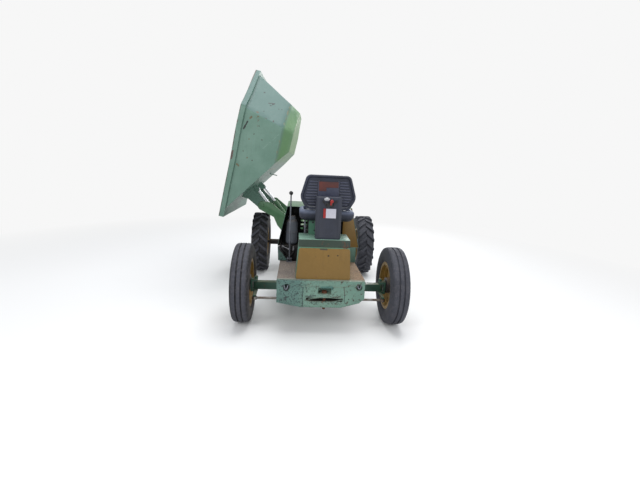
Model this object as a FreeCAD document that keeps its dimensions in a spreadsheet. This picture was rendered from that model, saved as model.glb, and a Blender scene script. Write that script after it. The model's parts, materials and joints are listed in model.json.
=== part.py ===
import FreeCAD, Part
import math
import os
import Sketcher

# Site dumper with a swivelling, tipping skip. Lengths in millimetres, angles in degrees.
# Vehicle frame: x to the right, y forwards (towards the skip), z up from the ground,
# measured from the vehicle's centreline and its rear (steered) axle.
# Swivel frame: the same directions with the skip pointing straight ahead, x and y measured
# from the turntable's axis. Skip frame: as the swivel frame, measured from the tipping pin
# with the rim level.

DRIVING_SIZES = [
    # alias, value, what it is
    ("centreline_x", 168.7, "vehicle centreline from the part's origin"),
    ("rear_axle_y", -1009.5, "rear axle from the part's origin"),
    ("wheelbase", 1665, "rear axle to front axle"),
    ("track_width", 1410, "between the wheels' centre planes, both axles"),
    ("fit_gap", 0.3, "gap between faces of different pieces"),
    ("shaft_gap", 0.05, "radial running clearance of a shaft"),
    # wheels
    ("rim_seat_radius", 204, "16 inch bead seat"),
    ("rim_flange_radius", 226, "rim flange"),
    ("rim_well_radius", 184, "drop centre"),
    ("rim_sheet", 6, "rim and disc thickness"),
    ("rear_wheel_radius", 367.5, "ribbed steering tyre 6.00-16"),
    ("rear_tyre_width", 165, "ribbed steering tyre"),
    ("rear_rim_half", 62, "half of the rear rim inside its flanges"),
    ("front_wheel_radius", 400, "drive tyre 7.50-16 over its lugs"),
    ("front_tyre_width", 210, "drive tyre"),
    ("front_rim_half", 76, "half of the front rim inside its flanges"),
    ("disc_inset", 8, "wheel disc face from the wheel's centre plane, inwards"),
    ("hub_inset", 60, "hub drum's inner face from the wheel's centre plane"),
    ("hub_drum_radius", 75, "hub drum"),
    ("hub_nose_radius", 40, "hub nose through the disc"),
    ("hub_nose_length", 58, "hub nose from the disc outwards"),
    ("stub_radius", 18, "stub axle in the hub"),
    ("stub_outset", 30, "stub axle's end from the wheel's centre plane, outwards"),
    # chassis
    ("deck_top", 500, "top of the deck plates"),
    ("deck_sheet", 6, "deck plate"),
    ("deck_half", 385, "half width of the deck and the rear beam"),
    ("deck_back", -280, "rear edge of the deck"),
    ("deck_skirt", 40, "folded side of the deck"),
    ("bulkhead_y", 310, "front end of the deck, rear face of the engine bay"),
    ("rail_centre", 250, "chassis rail from the centreline"),
    ("rail_width", 80, "chassis rail"),
    ("rail_height", 54, "chassis rail"),
    ("rail_front", 1930, "front end of the rails"),
    ("cross_width", 40, "cross members, along the vehicle"),
    ("beam_back", -300, "rear face of the rear beam"),
    ("beam_depth", 100, "rear beam, along the vehicle"),
    ("beam_bottom", 290, "rear beam's underside at its ends"),
    ("beam_belly", 40, "how far the beam's middle hangs below its ends"),
    ("beam_belly_half", 180, "half width of the hanging middle"),
    ("beam_chamfer", 45, "cut lower right corner of the beam"),
    ("jaw_centre", 33, "tow jaw from the centreline"),
    ("jaw_half", 160, "half width of the tow jaw"),
    ("jaw_bottom", 306, "tow jaw's lower lip"),
    ("jaw_height", 33, "tow jaw's mouth"),
    ("jaw_depth", 80, "tow jaw, from the rear face"),
    ("tow_pin_radius", 12, "drawbar pin"),
    ("tow_pin_inset", 35, "drawbar pin from the rear face"),
    ("tow_pin_bottom", 225, "lower end of the drawbar pin"),
    ("recess_bottom", 374, "recess for the drawbar pin's head"),
    ("recess_height", 54, "recess for the drawbar pin's head"),
    ("recess_half", 58, "half width of the recess"),
    ("lifting_hole_radius", 25, "round holes in the rear beam"),
    ("lifting_hole_left", -300, "left round hole from the centreline"),
    ("lifting_hole_right", 335, "right round hole from the centreline"),
    ("lifting_hole_z", 435, "height of the round holes"),
    ("lifting_hole_depth", 60, "depth of the round holes"),
    # rear axle
    ("rear_beam_height", 70, "rear axle beam"),
    ("rear_beam_width", 60, "rear axle beam"),
    ("rear_beam_z", 345, "rear axle beam's centre height"),
    ("kingpin_inset", 115, "kingpin from the wheel's centre plane"),
    ("kingpin_radius", 16, "kingpin"),
    ("kingpin_boss_radius", 28, "axle beam's boss round the kingpin"),
    ("kingpin_cap", 25, "kingpin above and below the knuckle's ears"),
    ("knuckle_ear", 24, "thickness of the knuckle's ears"),
    ("knuckle_web", 18, "thickness of the knuckle's web"),
    ("steering_arm", 140, "kingpin to track rod pin"),
    ("track_rod_radius", 11, "track rod"),
    ("track_rod_pin", 9, "track rod pin radius"),
    ("hanger_sheet", 12, "plates that hang the rear axle"),
    ("axle_pivot_radius", 20, "the rear axle's own pivot pin"),
    # front axle
    ("axle_tube_radius", 36, "front axle tube"),
    ("axle_tube_inset", 115, "front axle tube's end from the wheel's centre plane"),
    ("diff_radius", 88, "differential housing"),
    ("diff_width", 150, "differential housing"),
    ("pinion_radius", 45, "differential's nose, where the propeller shaft ends"),
    ("pinion_reach", 118, "differential's nose, back from the axle"),
    ("pinion_rise", 30, "propeller shaft above the axle"),
    # seat box
    ("box_back", -270, "rear face of the seat box"),
    ("box_front", 20, "front face of the seat box"),
    ("box_top", 785, "top of the seat box"),
    ("box_foot_left", -225, "seat box at the deck"),
    ("box_foot_right", 255, "seat box at the deck"),
    ("box_head_left", -206, "seat box at its top"),
    ("box_head_right", 236, "seat box at its top"),
    ("box_sheet", 5, "seat box sheet"),
    ("lid_height", 65, "plinth on the seat box"),
    ("panel_border", 14, "green border left round the yellow rear panel"),
    ("panel_sheet", 12, "yellow rear panel, pressed outwards"),
    # seat
    ("seat_x", 42, "seat centre from the centreline"),
    ("column_half", 110, "half width of the suspension cover"),
    ("column_back", -240, "rear face of the suspension cover"),
    ("column_depth", 100, "suspension cover"),
    ("column_top", 1210, "top of the suspension cover"),
    ("column_chamfer", 25, "chamfered edges of the suspension cover"),
    ("back_bottom", 1090, "seat back shell"),
    ("back_widest", 1190, "seat back shell's widest height"),
    ("back_top", 1390, "seat back shell's top"),
    ("back_bottom_half", 190, "half width at the back's bottom"),
    ("back_widest_half", 250, "half width at its widest"),
    ("back_top_half", 192, "half width at its top"),
    ("back_rear", -105, "rear face of the seat back shell"),
    ("back_sheet", 30, "seat back shell with its folded rim"),
    ("pan_bottom", 980, "seat pan"),
    ("pan_height", 70, "seat pan with its raised sides"),
    ("pan_half", 244, "half width of the seat pan"),
    ("pan_front", 270, "front edge of the seat pan"),
    ("pan_sheet", 14, "seat pan's wall"),
    ("cushion_height", 90, "seat cushion"),
    ("back_cushion_depth", 55, "back cushion"),
    ("stand_left", -120, "seat's front stand"),
    ("stand_width", 70, "seat's front stand"),
    # engine bay
    ("bay_front", 832, "front face of the engine bay"),
    ("bay_step", 5, "engine bay's base past the deck's side"),
    ("bay_base_top", 660, "top of the base, foot of the hood"),
    ("bay_sheet", 5, "base sheet"),
    ("hood_top", 1060, "top of the hood"),
    ("hood_step", 25, "hood's foot past the side of its base"),
    ("hood_lean", 90, "how far the hood's sides close in on the way up"),
    ("hood_sheet", 4, "hood sheet"),
    ("rear_panel_left", 240, "left edge of the yellow panel"),
    ("engine_half", 150, "half width of the engine block"),
    ("engine_back", 400, "rear face of the engine block"),
    ("engine_front", 760, "front face of the engine block"),
    ("engine_bottom", 510, "underside of the engine block"),
    ("engine_top", 800, "top of the crankcase"),
    ("engine_head_top", 980, "top of the cylinder head"),
    ("flywheel_radius", 150, "flywheel"),
    ("canister_x", -276, "air cleaner from the centreline"),
    ("canister_y", 402, "air cleaner's axis"),
    ("canister_radius", 62, "air cleaner"),
    ("canister_bottom", 655, "air cleaner"),
    ("canister_top", 955, "air cleaner"),
    ("gearbox_front", 1180, "front face of the gearbox"),
    ("gearbox_half", 120, "half width of the gearbox"),
    ("gearbox_bottom", 500, "gearbox behind its drop case"),
    ("gearbox_top", 640, "gearbox"),
    ("drop_case_back", 900, "rear face of the drop case"),
    ("drop_case_bottom", 380, "drop case"),
    ("gearbox_gap", 6, "bay's opening round the gearbox"),
    ("prop_shaft_radius", 26, "propeller shaft"),
    ("lever_inset", 95, "control lever from the deck's left edge"),
    ("lever_y", 275, "control lever"),
    ("lever_top", 1175, "centre of the control lever's knob"),
    ("lever_radius", 7, "control lever"),
    ("knob_radius", 20, "control lever's knob"),
    # steering wheel
    ("wheel_hub_y", 430, "steering wheel's centre"),
    ("wheel_hub_z", 1250, "steering wheel's centre"),
    ("steering_rim_radius", 175, "steering wheel to its rim's centre"),
    ("steering_rim_tube", 14, "steering wheel's rim section"),
    ("steering_rake", 35, "steering column from vertical"),
    ("column_tube_radius", 20, "steering column"),
    ("steering_boss_drop", 30, "steering wheel's boss below its rim's plane"),
    # turntable and arms
    ("swivel_y", 1620, "turntable axis from the rear axle"),
    ("swivel_angle", 86.9, "skip turned to the left of straight ahead"),
    ("ring_radius", 230, "slewing ring"),
    ("ring_bore", 180, "slewing ring"),
    ("ring_height", 22, "each half of the slewing ring"),
    ("seat_plate", 8, "plate under the slewing ring"),
    ("base_plate", 15, "swivel frame's base plate"),
    ("base_back", -225, "swivel frame's base plate"),
    ("base_front", 380, "swivel frame's base plate"),
    ("arm_centre", 330, "arm plates from the turntable axis"),
    ("arm_sheet", 20, "arm plates"),
    ("pin_y", 650, "tipping pin from the turntable axis"),
    ("pin_z", 935, "tipping pin's height"),
    ("arm_boss_radius", 58, "arm's round end"),
    ("tie_radius", 26, "tube between the arms"),
    ("tie_y", 150, "tube between the arms, from the turntable axis"),
    ("tie_z", 650, "tube between the arms"),
    ("rest_centre", 200, "rests under the lowered skip, from the middle"),
    ("rest_width", 60, "rests under the lowered skip"),
    ("rest_back", -220, "rests under the lowered skip, from the turntable axis"),
    ("rest_top", 806, "rests under the lowered skip"),
    ("tipping_pin_radius", 20, "tipping pins"),
    # skip, in the skip frame
    ("tip_angle", 77.8, "skip tipped from rim level"),
    ("rim_height", 431, "skip rim above the tipping pin"),
    ("fold_height", -66, "lower fold of the skip's walls"),
    ("floor_height", -185, "skip floor"),
    ("skip_sheet", 6, "skip plate"),
    ("corner_slope", 0.87, "how far a rear corner panel turns in for each length back"),
    ("side_taper", 0.031, "how far the sides close in for each length forwards"),
    ("lip_y", 174, "pouring lip at the rim"),
    ("bend_y", -1073, "start of the corner panel at the rim"),
    ("rear_y", -1527, "rear wall at the rim"),
    ("rim_half", 702, "half width at the rim's bend"),
    ("fold_front_y", -551, "front slope at the lower fold"),
    ("fold_bend_y", -965, "corner panel at the lower fold"),
    ("fold_rear_y", -1269, "rear wall at the lower fold"),
    ("fold_half", 682, "half width at the lower fold"),
    ("floor_front_y", -725, "floor's front edge"),
    ("floor_bend_y", -943, "corner panel at the floor"),
    ("floor_rear_y", -1213, "floor's rear edge"),
    ("floor_half", 489, "half width of the floor"),
    ("rim_band", 58, "height of the rim's folded band"),
    ("rim_stand", 20, "how far the band stands out"),
    ("bracket_centre", 309, "skip's hinge brackets from its middle"),
    ("bracket_sheet", 16, "skip's hinge brackets"),
    ("catch_back", -400, "catch that holds the lowered skip, from the tipping pin"),
    ("catch_bottom", -60, "lower end of the catch"),
    ("catch_width", 60, "catch"),
    ("catch_sheet", 8, "catch"),
    # rams
    ("ram_centre", 260, "rams from the middle"),
    ("ram_foot_y", 300, "ram foot from the turntable axis"),
    ("ram_foot_z", 616, "ram foot's height"),
    ("ram_eye_y", 65, "ram eye before the tipping pin with the skip tipped"),
    ("ram_eye_z", 197, "ram eye above the tipping pin with the skip tipped"),
    ("barrel_radius", 34, "ram barrel"),
    ("barrel_length", 418, "foot pin to gland"),
    ("barrel_floor", 60, "foot pin to the barrel's closed end"),
    ("ram_rod_radius", 16, "ram rod"),
    ("rod_engaged", 150, "ram rod inside its barrel with the skip tipped"),
    ("ram_eye_radius", 26, "ram eyes"),
    ("ram_pin_radius", 14, "ram pins"),
    ("ram_lug_sheet", 12, "lugs that hold the rams"),
    ("ram_lug_gap", 3, "side clearance of a ram eye"),
]


class Size:
    """A length or angle with the spreadsheet expression that it comes from."""

    def __init__(self, number, text):
        self.number = float(number)
        self.text = text

    def __add__(self, other):
        other = size(other)
        return Size(self.number + other.number, "(%s + %s)" % (self.text, other.text))

    def __radd__(self, other):
        return size(other) + self

    def __sub__(self, other):
        other = size(other)
        return Size(self.number - other.number, "(%s - %s)" % (self.text, other.text))

    def __rsub__(self, other):
        return size(other) - self

    def __mul__(self, other):
        other = size(other)
        return Size(self.number * other.number, "(%s * %s)" % (self.text, other.text))

    def __rmul__(self, other):
        return size(other) * self

    def __truediv__(self, other):
        other = size(other)
        return Size(self.number / other.number, "(%s / %s)" % (self.text, other.text))

    def __neg__(self):
        return Size(-self.number, "(0 - %s)" % self.text)


def size(value):
    if isinstance(value, Size):
        return value
    return Size(value, "(%s)" % repr(float(value)))


def sine(angle):
    return Size(math.sin(math.radians(angle.number)), "sin(%s)" % angle.text)


def cosine(angle):
    return Size(math.cos(math.radians(angle.number)), "cos(%s)" % angle.text)


def arctangent(rise, run):
    degrees = math.degrees(math.atan2(rise.number, run.number))
    return Size(degrees, "(atan2(%s; %s) / 1 deg)" % (rise.text, run.text))


def length_of(across, along):
    return Size(math.hypot(across.number, along.number), "sqrt(%s ^ 2 + %s ^ 2)" % (across.text, along.text))


class Sheet:
    """The named sizes."""


doc = FreeCAD.newDocument("site_dumper")
sheet = doc.addObject("Spreadsheet::Sheet", "Sizes")
at = Sheet()
for row, (alias, value, note) in enumerate(DRIVING_SIZES, 1):
    sheet.set("A%d" % row, note)
    sheet.set("B%d" % row, str(value))
    sheet.setAlias("B%d" % row, alias)
    setattr(at, alias, Size(value, "Sizes." + alias))
doc.recompute()

pieces = {}


def bind(thing, name, value):
    thing.setExpression(name, size(value).text)


def put(thing, place, turn=None, angle=None):
    """Place a shape: a fixed turn (axis, degrees), or a turn by a named angle about an axis."""
    if turn is not None:
        axis, degrees = turn
        thing.Placement = FreeCAD.Placement(FreeCAD.Vector(), FreeCAD.Rotation(FreeCAD.Vector(*axis), degrees))
    if angle is not None:
        axis, value = angle
        value = size(value)
        thing.Placement = FreeCAD.Placement(FreeCAD.Vector(), FreeCAD.Rotation(FreeCAD.Vector(*axis), value.number))
        bind(thing, "Placement.Rotation.Angle", value)
    for name, value in zip("xyz", place):
        bind(thing, "Placement.Base." + name, value)
    return thing


def box(name, low, high):
    thing = doc.addObject("Part::Box", name)
    for side, one, two in zip(("Length", "Width", "Height"), low, high):
        bind(thing, side, size(two) - one)
    return put(thing, low)


TURN_TO_X = ((0, 1, 0), 90)
TURN_TO_Y = ((1, 0, 0), -90)


def rod(name, radius, length, place, along="z"):
    """Cylinder from place, along a positive axis."""
    thing = doc.addObject("Part::Cylinder", name)
    bind(thing, "Radius", radius)
    bind(thing, "Height", length)
    turn = {"x": TURN_TO_X, "y": TURN_TO_Y, "z": None}[along]
    return put(thing, place, turn)


def fuse(name, things):
    whole = doc.addObject("Part::MultiFuse", name)
    whole.Shapes = things
    return whole


def cut(name, base, tools):
    whole = doc.addObject("Part::Cut", name)
    whole.Base = base
    whole.Tool = tools[0] if len(tools) == 1 else fuse(name + "_tools", tools)
    return whole


def outline(body, plane, loops, name):
    """Sketch of closed loops. A vertex is (x, y) or (x, y, radius): with a radius its edge
    to the next vertex is an arc, that bulges to the right of the way it runs if positive."""
    sketch = body.newObject("Sketcher::SketchObject", name)
    origin = [item for item in body.Origin.OriginFeatures if item.Role == plane][0]
    sketch.AttachmentSupport = (origin, [""])
    sketch.MapMode = "FlatFace"
    for loop in loops:
        first = sketch.GeometryCount
        corners = [(size(v[0]), size(v[1])) for v in loop]
        spots = [FreeCAD.Vector(x.number, y.number, 0) for x, y in corners]
        ends = []
        for index, vertex in enumerate(loop):
            start = spots[index]
            stop = spots[(index + 1) % len(loop)]
            if len(vertex) == 3:
                radius = size(vertex[2])
                chord = stop - start
                half = chord.Length / 2
                side = FreeCAD.Vector(chord.y, -chord.x, 0).normalize()
                sign = 1 if radius.number > 0 else -1
                bulge = abs(radius.number) - math.sqrt(radius.number ** 2 - half ** 2)
                middle = (start + stop) / 2 + side * (sign * bulge)
                edge = Part.Arc(start, middle, stop)
                number = sketch.addGeometry(edge, False)
                placed = sketch.Geometry[number]
                flipped = (placed.StartPoint - start).Length > (placed.EndPoint - start).Length
                ends.append((2, 1) if flipped else (1, 2))
                key = sketch.addConstraint(Sketcher.Constraint("Radius", number, abs(radius.number)))
                sketch.setExpression("Constraints[%d]" % key, radius.text if sign > 0 else (-radius).text)
            else:
                sketch.addGeometry(Part.LineSegment(start, stop), False)
                ends.append((1, 2))
        count = len(loop)
        for index in range(count):
            following = (index + 1) % count
            sketch.addConstraint(Sketcher.Constraint(
                "Coincident", first + index, ends[index][1], first + following, ends[following][0]))
        for index, (x, y) in enumerate(corners):
            for kind, value in (("DistanceX", x), ("DistanceY", y)):
                key = sketch.addConstraint(Sketcher.Constraint(
                    kind, -1, 1, first + index, ends[index][0], value.number))
                sketch.setExpression("Constraints[%d]" % key, value.text)
    return sketch


def plate(name, plane, loops, thickness):
    """Plate padded from a plane: YZ goes towards +x, XY towards +z, XZ towards +y."""
    body = doc.addObject("PartDesign::Body", name)
    sketch = outline(body, plane, loops, name + "_outline")
    pad = body.newObject("PartDesign::Pad", name + "_pad")
    pad.Profile = sketch
    bind(pad, "Length", thickness)
    pad.Reversed = plane == "XZ_Plane"
    return body


def turned(name, loop):
    """Body turned about the x axis, from a profile of (along the axis, radius)."""
    body = doc.addObject("PartDesign::Body", name)
    sketch = outline(body, "XY_Plane", [loop], name + "_profile")
    ring = body.newObject("PartDesign::Revolution", name + "_turned")
    ring.Profile = sketch
    ring.ReferenceAxis = (sketch, ["H_Axis"])
    ring.Angle = 360
    return body


def keep(label, thing, place=(0, 0, 0), turn=None):
    """Name a finished sub-part of the vehicle frame and put it in the part's frame."""
    x, y, z = [size(value) for value in place]
    put(thing, (x + at.centreline_x, y + at.rear_axle_y, z), turn)
    thing.Label = label
    pieces[label] = thing


def group(name, things):
    whole = doc.addObject("Part::Compound", name)
    whole.Links = things
    return whole


def keep_swivelled(label, things):
    """Name a finished sub-part of the swivel frame and turn it with the turntable."""
    whole = group(label + "_swivelled", things)
    place = (at.centreline_x, at.rear_axle_y + at.swivel_y, 0)
    put(whole, place, angle=((0, 0, 1), at.swivel_angle))
    whole.Label = label
    pieces[label] = whole


frame_top = at.deck_top - at.deck_sheet
kingpin_x = at.track_width / 2 - at.kingpin_inset
bay_half = at.deck_half + at.bay_step
hood_foot_half = bay_half + at.hood_step
hood_head_half = hood_foot_half - at.hood_lean
beam_front = at.beam_back + at.beam_depth
rail_bottom = frame_top - at.rail_height
SIDES = (("left", -1), ("right", 1))


# Wheels: local x runs outwards along the axle, 0 at the wheel's centre plane.

def rim_loop(half):
    seat = at.rim_seat_radius
    flange = at.rim_flange_radius
    well = at.rim_well_radius
    t = at.rim_sheet
    inside = seat - t
    edge = half + t
    slope = half / 2
    disc = -at.disc_inset
    return [
        (-edge, flange), (-half, flange), (-half, seat), (-slope, seat), (-slope + t, well),
        (slope - t, well), (slope, seat), (half, seat), (half, flange), (edge, flange),
        (edge, inside), (slope + t / 2, inside), (slope - t / 2, well - t),
        (disc + t * 2, well - t), (disc, well - t * 8), (disc, at.hub_nose_radius + at.fit_gap),
        (disc - t, at.hub_nose_radius + at.fit_gap), (disc - t, well - t * 8), (disc + t, well - t),
        (-slope + t / 2, well - t), (-slope - t / 2, inside), (-edge, inside),
    ]


def tyre_loop(half, radius, width, shoulder, drop):
    """Tyre section: bead on the seat, over the flange, sidewall arc, crown arc."""
    gap = at.fit_gap
    bead = at.rim_seat_radius + gap
    over = at.rim_flange_radius + gap * 2
    foot = half + at.rim_sheet + 2
    top = radius - drop
    bulge = width / 2 - (foot + shoulder) / 2
    rise = length_of(top - over, shoulder - foot) / 2
    wall = (rise * rise + bulge * bulge) / (2 * bulge)
    crown = (shoulder * shoulder + drop * drop) / (2 * drop)
    return [
        (half - gap, bead), (half - gap, over), (foot, over, wall), (shoulder, top, crown),
        (-shoulder, top, wall), (-foot, over), (-half + gap, over), (-half + gap, bead),
    ]


def hub_loop():
    inner = -at.hub_inset
    disc = -at.disc_inset - at.rim_sheet - at.fit_gap
    bore = at.stub_radius + at.shaft_gap
    nose = -at.disc_inset + at.hub_nose_length
    inside = at.stub_outset + 4
    r_nose = at.hub_nose_radius
    return [
        (inner, bore), (inner, at.hub_drum_radius), (disc, at.hub_drum_radius), (disc, r_nose),
        (nose - 12, r_nose), (nose, r_nose - 14), (nose, 4), (inside, 4), (inside, bore),
    ]


WHEELS = [
    # axle name, y, radius, tyre width, rim half, shoulder half width, crown drop
    ("rear", 0, at.rear_wheel_radius, at.rear_tyre_width, at.rear_rim_half, 66, 9),
    ("front", at.wheelbase, at.front_wheel_radius, at.front_tyre_width, at.front_rim_half, 92, 12),
]
for axle, axle_y, radius, width, half, shoulder, drop in WHEELS:
    for side, sign in SIDES:
        name = axle + "_" + side
        place = (at.track_width / 2 * sign, axle_y, radius)
        turn = None if sign > 0 else ((0, 0, 1), 180)
        tyre = turned(name + "_tyre_body", tyre_loop(half, radius, width, size(shoulder), size(drop)))
        keep(name + "_tyre", tyre, place, turn)
        keep(name + "_rim", turned(name + "_rim_body", rim_loop(half)), place, turn)
        keep(name + "_hub", turned(name + "_hub_body", hub_loop()), place, turn)


# Rear axle: a beam on a centre pivot, with a boss for the kingpin at each end.

def rear_axle():
    half_height = at.rear_beam_height / 2
    low = at.rear_beam_z - half_height
    high = at.rear_beam_z + half_height
    y = at.rear_beam_width / 2
    beam = box("rear_axle_beam", (-kingpin_x, -y, low), (kingpin_x, y, high))
    bosses = [rod("kingpin_boss_" + side, at.kingpin_boss_radius, high - low,
                  (kingpin_x * sign, 0, low)) for side, sign in SIDES]
    bores = [rod("kingpin_bore_" + side, at.kingpin_radius + at.shaft_gap, high - low + 20,
                 (kingpin_x * sign, 0, low - 10)) for side, sign in SIDES]
    trims = [box("axle_end_" + side, (kingpin_x * sign - 40 * (1 - sign) / 2, -y - 1, low - 1),
                 (kingpin_x * sign + 40 * (1 + sign) / 2, y + 1, high + 1)) for side, sign in SIDES]
    trimmed = cut("rear_axle_trimmed", beam, trims)
    reach = at.hanger_sheet + 27
    pivot = rod("axle_pivot", at.axle_pivot_radius, y * 2 + reach * 2, (0, -y - reach, at.rear_beam_z), "y")
    whole = cut("rear_axle_whole", fuse("rear_axle_solid", [trimmed, pivot] + bosses), bores)
    keep("rear_axle", whole)


def knuckle(side, sign):
    gap = at.fit_gap
    low = at.rear_beam_z - at.rear_beam_height / 2
    high = at.rear_beam_z + at.rear_beam_height / 2
    ear = at.knuckle_ear
    half = at.kingpin_boss_radius
    web = at.kingpin_boss_radius + 4
    parts = [
        rod("kingpin_" + side, at.kingpin_radius, high - low + ear * 2 + gap * 2 + at.kingpin_cap,
            (0, 0, low - gap - ear)),
        box("knuckle_web_" + side, (web, -half, low - gap - ear), (web + at.knuckle_web, half, high + gap + ear)),
        box("knuckle_low_" + side, (-12, -half, low - gap - ear), (web, half, low - gap)),
        box("knuckle_high_" + side, (-12, -half, high + gap), (web, half, high + gap + ear)),
    ]
    stub_start = web + 2
    stub_end = at.track_width / 2 - kingpin_x + at.stub_outset
    parts.append(rod("stub_" + side, at.stub_radius, stub_end - stub_start,
                     (stub_start, 0, at.rear_wheel_radius), "x"))
    arm_low = low - gap - ear
    parts.append(steering_arm(side, sign, arm_low, 14))
    parts.append(rod("track_pin_" + side, at.track_rod_pin, 44, (0, -at.steering_arm * sign, arm_low - 34)))
    whole = fuse("knuckle_whole_" + side, parts)
    turn = None if sign > 0 else ((0, 0, 1), 180)
    keep("knuckle_" + side, whole, (kingpin_x * sign, 0, 0), turn)


def steering_arm(side, sign, low, half):
    """Steering arm: always towards the rear of the vehicle, whichever way the knuckle is turned."""
    if sign > 0:
        start, stop = -at.steering_arm - 16, size(0)
    else:
        start, stop = size(0), at.steering_arm + 16
    return box("steering_arm_" + side, (-half, start, low), (half, stop, low + 14))


def track_rod():
    low = at.rear_beam_z - at.rear_beam_height / 2 - at.fit_gap - at.knuckle_ear
    z = low - 18
    x = kingpin_x
    bar = rod("track_rod_bar", at.track_rod_radius, x * 2 - 40, (-x + 20, -at.steering_arm, z), "x")
    eyes = [rod("track_eye_" + side, 22, 28, (x * sign, -at.steering_arm, z - 14)) for side, sign in SIDES]
    bores = [rod("track_bore_" + side, at.track_rod_pin + at.shaft_gap, 60, (x * sign, -at.steering_arm, z - 30))
             for side, sign in SIDES]
    keep("track_rod", cut("track_rod_whole", fuse("track_rod_solid", [bar] + eyes), bores))


rear_axle()
for side, sign in SIDES:
    knuckle(side, sign)
track_rod()


# Front axle: tube with a differential housing and a shaft to each hub, and the saddles that carry the rails on it.

def front_axle():
    z = at.front_wheel_radius
    end = at.track_width / 2 - at.axle_tube_inset
    shaft_end = at.track_width / 2 + at.stub_outset
    tube = rod("axle_tube", at.axle_tube_radius, end * 2, (-end, 0, z), "x")
    shaft = rod("axle_shafts", at.stub_radius, shaft_end * 2, (-shaft_end, 0, z), "x")
    diff = rod("differential", at.diff_radius, at.diff_width, (-at.diff_width / 2, 0, z), "x")
    nose = rod("pinion_nose", at.pinion_radius, at.pinion_reach, (0, -at.pinion_reach, z + at.pinion_rise), "y")
    keep("front_axle", fuse("front_axle_whole", [tube, shaft, diff, nose]), (0, at.wheelbase, 0))
    half = at.rail_width / 2
    saddles = []
    for side, sign in SIDES:
        x = at.rail_centre * sign
        blank = box("saddle_blank_" + side, (x - half, -half, z), (x + half, half, rail_bottom))
        bed = rod("saddle_bed_" + side, at.axle_tube_radius, at.rail_width, (x - half, 0, z), "x")
        saddles.append(cut("saddle_" + side, blank, [bed]))
    keep("axle_saddles", group("axle_saddle_pair", saddles), (0, at.wheelbase, 0))


front_axle()


# Chassis: two rails, cross members, the hangers of the rear axle and the plate under the ring.

def chassis():
    half = at.rail_width / 2
    rails = [box("rail_" + side, (at.rail_centre * sign - half, beam_front, rail_bottom),
                 (at.rail_centre * sign + half, at.rail_front, frame_top)) for side, sign in SIDES]
    inner = at.rail_centre - half
    outer = bay_half - at.bay_sheet
    w = at.cross_width
    crosses = [
        ("rear", inner, beam_front), ("axle", inner, -w / 2), ("bulkhead", outer, at.bulkhead_y),
        ("bay", outer, at.bay_front - w), ("front", inner, at.rail_front - w),
    ]
    members = [box("cross_" + name, (-reach, y, rail_bottom), (reach, y + w, frame_top))
               for name, reach, y in crosses]
    y = at.rear_beam_width / 2 + 15
    low = at.rear_beam_z - at.axle_pivot_radius - 18
    hole = at.axle_pivot_radius + at.fit_gap
    hangers = []
    for name, start in (("back", -y - at.hanger_sheet), ("front", y)):
        blank = box("hanger_blank_" + name, (-55, start, low), (55, start + at.hanger_sheet, rail_bottom + 10))
        bore = rod("hanger_bore_" + name, hole, at.hanger_sheet + 10, (0, start - 5, at.rear_beam_z), "y")
        hangers.append(cut("hanger_" + name, blank, [bore]))
    ties = [box("hanger_tie", (-55, -y - at.hanger_sheet, rail_bottom), (55, y + at.hanger_sheet, rail_bottom + 12))]
    reach = at.ring_radius + 30
    ring_plate = box("ring_plate", (-at.rail_centre - half, at.swivel_y - reach, frame_top),
                     (at.rail_centre + half, at.swivel_y + reach, frame_top + at.seat_plate))
    keep("chassis_frame", fuse("chassis_whole", rails + members + hangers + ties + [ring_plate]))


chassis()


# Rear beam: heavy counterweight with the tow jaw, a recess for the pin's head and two round holes.

def rear_beam():
    low = at.beam_bottom
    belly = at.beam_bottom - at.beam_belly
    half = at.deck_half
    b = at.beam_belly_half
    loop = [
        (-half, low), (-b, belly), (b, belly), (half - at.beam_chamfer, low + 4),
        (half, low + at.beam_chamfer), (half, frame_top), (-half, frame_top),
    ]
    slab = put(plate("beam_slab", "XZ_Plane", [loop], at.beam_depth), (0, at.beam_back, 0))
    back = at.beam_back - 1
    jaw = box("jaw", (at.jaw_centre - at.jaw_half, back, at.jaw_bottom),
              (at.jaw_centre + at.jaw_half, at.beam_back + at.jaw_depth, at.jaw_bottom + at.jaw_height))
    recess = box("pin_recess", (at.jaw_centre - at.recess_half, back, at.recess_bottom),
                 (at.jaw_centre + at.recess_half, at.beam_back + at.jaw_depth - 10,
                  at.recess_bottom + at.recess_height))
    pin_y = at.beam_back + at.tow_pin_inset
    bore = rod("pin_bore", at.tow_pin_radius + at.fit_gap, at.recess_bottom - belly + 20,
               (at.jaw_centre, pin_y, belly - 10))
    holes = [rod("round_hole_" + name, at.lifting_hole_radius, at.lifting_hole_depth + 1,
                 (x, back, at.lifting_hole_z), "y")
             for name, x in (("left", at.lifting_hole_left), ("right", at.lifting_hole_right))]
    keep("rear_beam", cut("rear_beam_whole", slab, [jaw, recess, bore] + holes))
    shank = rod("tow_pin_shank", at.tow_pin_radius, at.recess_bottom - at.tow_pin_bottom + 4,
                (at.jaw_centre, pin_y, at.tow_pin_bottom))
    head = rod("tow_pin_head", at.tow_pin_radius + 10, 18,
               (at.jaw_centre, pin_y, at.recess_bottom + at.fit_gap))
    keep("tow_pin", fuse("tow_pin_whole", [shank, head]))


rear_beam()


# Deck with folded sides.

def deck():
    top = box("deck_plate", (-at.deck_half, at.deck_back, frame_top), (at.deck_half, at.bulkhead_y, at.deck_top))
    skirts = []
    for side, sign in SIDES:
        x = at.deck_half * sign
        inside = x - at.deck_sheet * sign
        low, high = (inside, x) if sign > 0 else (x, inside)
        skirts.append(box("deck_skirt_" + side, (low, beam_front + 2, frame_top - at.deck_skirt),
                          (high, at.bulkhead_y, frame_top)))
    keep("deck", fuse("deck_whole", [top] + skirts))


deck()


# Seat box: a tapered sheet box open below, its yellow rear panel and the plinth on top.

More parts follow.
